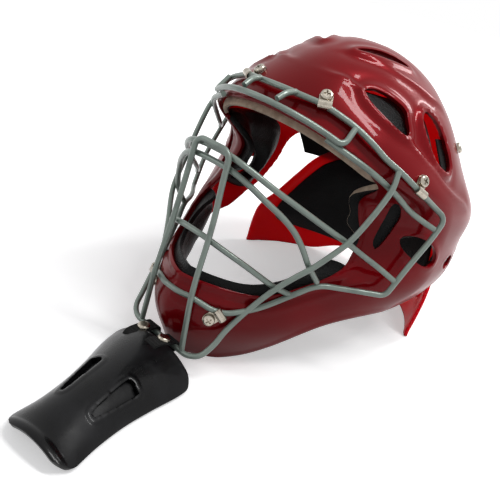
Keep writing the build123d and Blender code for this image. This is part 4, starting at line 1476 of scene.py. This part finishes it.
@dataclass
class Studio:
    """The floor, the lights and the camera."""

    eye: tuple[float, float, float] = (0.2427, -0.2649, 0.2649)
    look: tuple[float, float, float] = (-0.533, 0.723, -0.441)
    right: tuple[float, float, float] = (0.719, 0.661, 0.215)
    focal: float = 43.2

    def floor(self) -> None:
        """Lay the pale floor, which is white in the picture but keeps its shadow."""
        mesh = bmesh.new()
        bmesh.ops.create_grid(mesh, x_segments=1, y_segments=1, size=6.0)
        data = bpy.data.meshes.new("floor")
        mesh.to_mesh(data)
        mesh.free()
        floor = bpy.data.objects.new("floor", data)
        floor.location.z = -0.0005
        bpy.context.scene.collection.objects.link(floor)
        material = bpy.data.materials.new("pale_floor")
        material.use_nodes = True
        tree = material.node_tree
        shader = tree.nodes["Principled BSDF"]
        shader.inputs["Roughness"].default_value = 0.9
        shader.inputs["Specular IOR Level"].default_value = 0.1
        seen = self.seen(tree)
        shade = mix_colour(tree, seen, (0.35, 0.35, 0.36, 1.0), (0.9, 0.9, 0.9, 1.0))
        tree.links.new(shade, shader.inputs["Base Color"])
        place = tree.nodes.new("ShaderNodeTexCoord").outputs["Object"]
        away = node(tree, "ShaderNodeVectorMath", Vector=place)
        away.operation = "LENGTH"
        far = spread(tree, away.outputs["Value"], 0.35, 0.9)
        glow = mix_colour(tree, far, (0.42, 0.42, 0.42, 1.0), (1.0, 1.0, 1.0, 1.0))
        glow = mix_colour(tree, seen, (0.0, 0.0, 0.0, 1.0), glow)
        tree.links.new(glow, shader.inputs["Emission Color"])
        shader.inputs["Emission Strength"].default_value = 1.0
        data.materials.append(material)

    def seen(self, tree: bpy.types.NodeTree) -> bpy.types.NodeSocket:
        """One for rays that show the background, straight on or mirrored, and zero for others."""
        rays = tree.nodes.new("ShaderNodeLightPath")
        total = rays.outputs["Is Camera Ray"]
        for kind in ("Is Glossy Ray", "Is Transmission Ray"):
            total = maths(tree, "MAXIMUM", total, rays.outputs[kind])
        return total

    def world(self) -> None:
        """A soft grey world that the camera and reflections see as white."""
        world = bpy.data.worlds.new("studio")
        bpy.context.scene.world = world
        world.use_nodes = True
        tree = world.node_tree
        shade = tree.nodes["Background"]
        shade.inputs["Strength"].default_value = 1.0
        colour = mix_colour(tree, self.seen(tree), (0.35, 0.35, 0.36, 1.0), (1.0, 1.0, 1.0, 1.0))
        tree.links.new(colour, shade.inputs["Color"])

    def lamp(self, name: str, place: Sequence[float], aim: Sequence[float],
             size: tuple[float, float], energy: float) -> None:
        """Add a soft lamp.

        Args:
            name: The lamp's name.
            place: Where it hangs.
            aim: Where it points.
            size: Its width and its length.
            energy: Its power.
        """
        light = bpy.data.lights.new(name, "AREA")
        light.shape = "RECTANGLE"
        light.size, light.size_y = size
        light.energy = energy
        lamp = bpy.data.objects.new(name, light)
        lamp.location = place
        lamp.rotation_euler = (Vector(aim) - Vector(place)).to_track_quat("-Z", "Y").to_euler()
        bpy.context.scene.collection.objects.link(lamp)

    def camera(self) -> None:
        """Set up the camera at the photograph's viewing angle."""
        data = bpy.data.cameras.new("camera")
        data.lens = self.focal
        data.sensor_width = 36.0
        data.sensor_fit = "HORIZONTAL"
        data.clip_start = 0.01
        back = -Vector(self.look).normalized()
        right = Vector(self.right)
        right = (right - back * right.dot(back)).normalized()
        up = back.cross(right)
        camera = bpy.data.objects.new("camera", data)
        turn = Matrix((right, up, back)).transposed().to_4x4()
        camera.matrix_world = Matrix.Translation(Vector(self.eye)) @ turn
        bpy.context.scene.collection.objects.link(camera)
        bpy.context.scene.camera = camera

    def build(self) -> None:
        """Build the studio."""
        self.floor()
        self.world()
        centre = (0.0, 0.12, 0.1)
        self.lamp("key", (0.35, 0.25, 1.0), centre, (0.12, 0.6), 6.0)
        self.lamp("fill", (-0.7, -0.7, 0.6), centre, (0.3, 0.5), 1.0)
        self.lamp("back", (0.2, 1.1, 0.8), centre, (0.15, 0.6), 4.0)
        self.camera()
        bpy.context.scene.view_settings.view_transform = "Standard"


def main() -> None:
    """Build the helmet's looks around its frame."""
    logging.basicConfig(level=logging.INFO, format="%(message)s")
    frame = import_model()
    finishes = Finishes.build()
    dress_nodes(frame, finishes)
    for piece in (FrontShell(finishes), NapePlate(finishes), Padding(finishes),
                  ElasticStraps(finishes), ThroatGuard(finishes), GuardStraps(finishes)):
        piece.build()
    Studio().build()


if __name__ == "__main__":
    main()
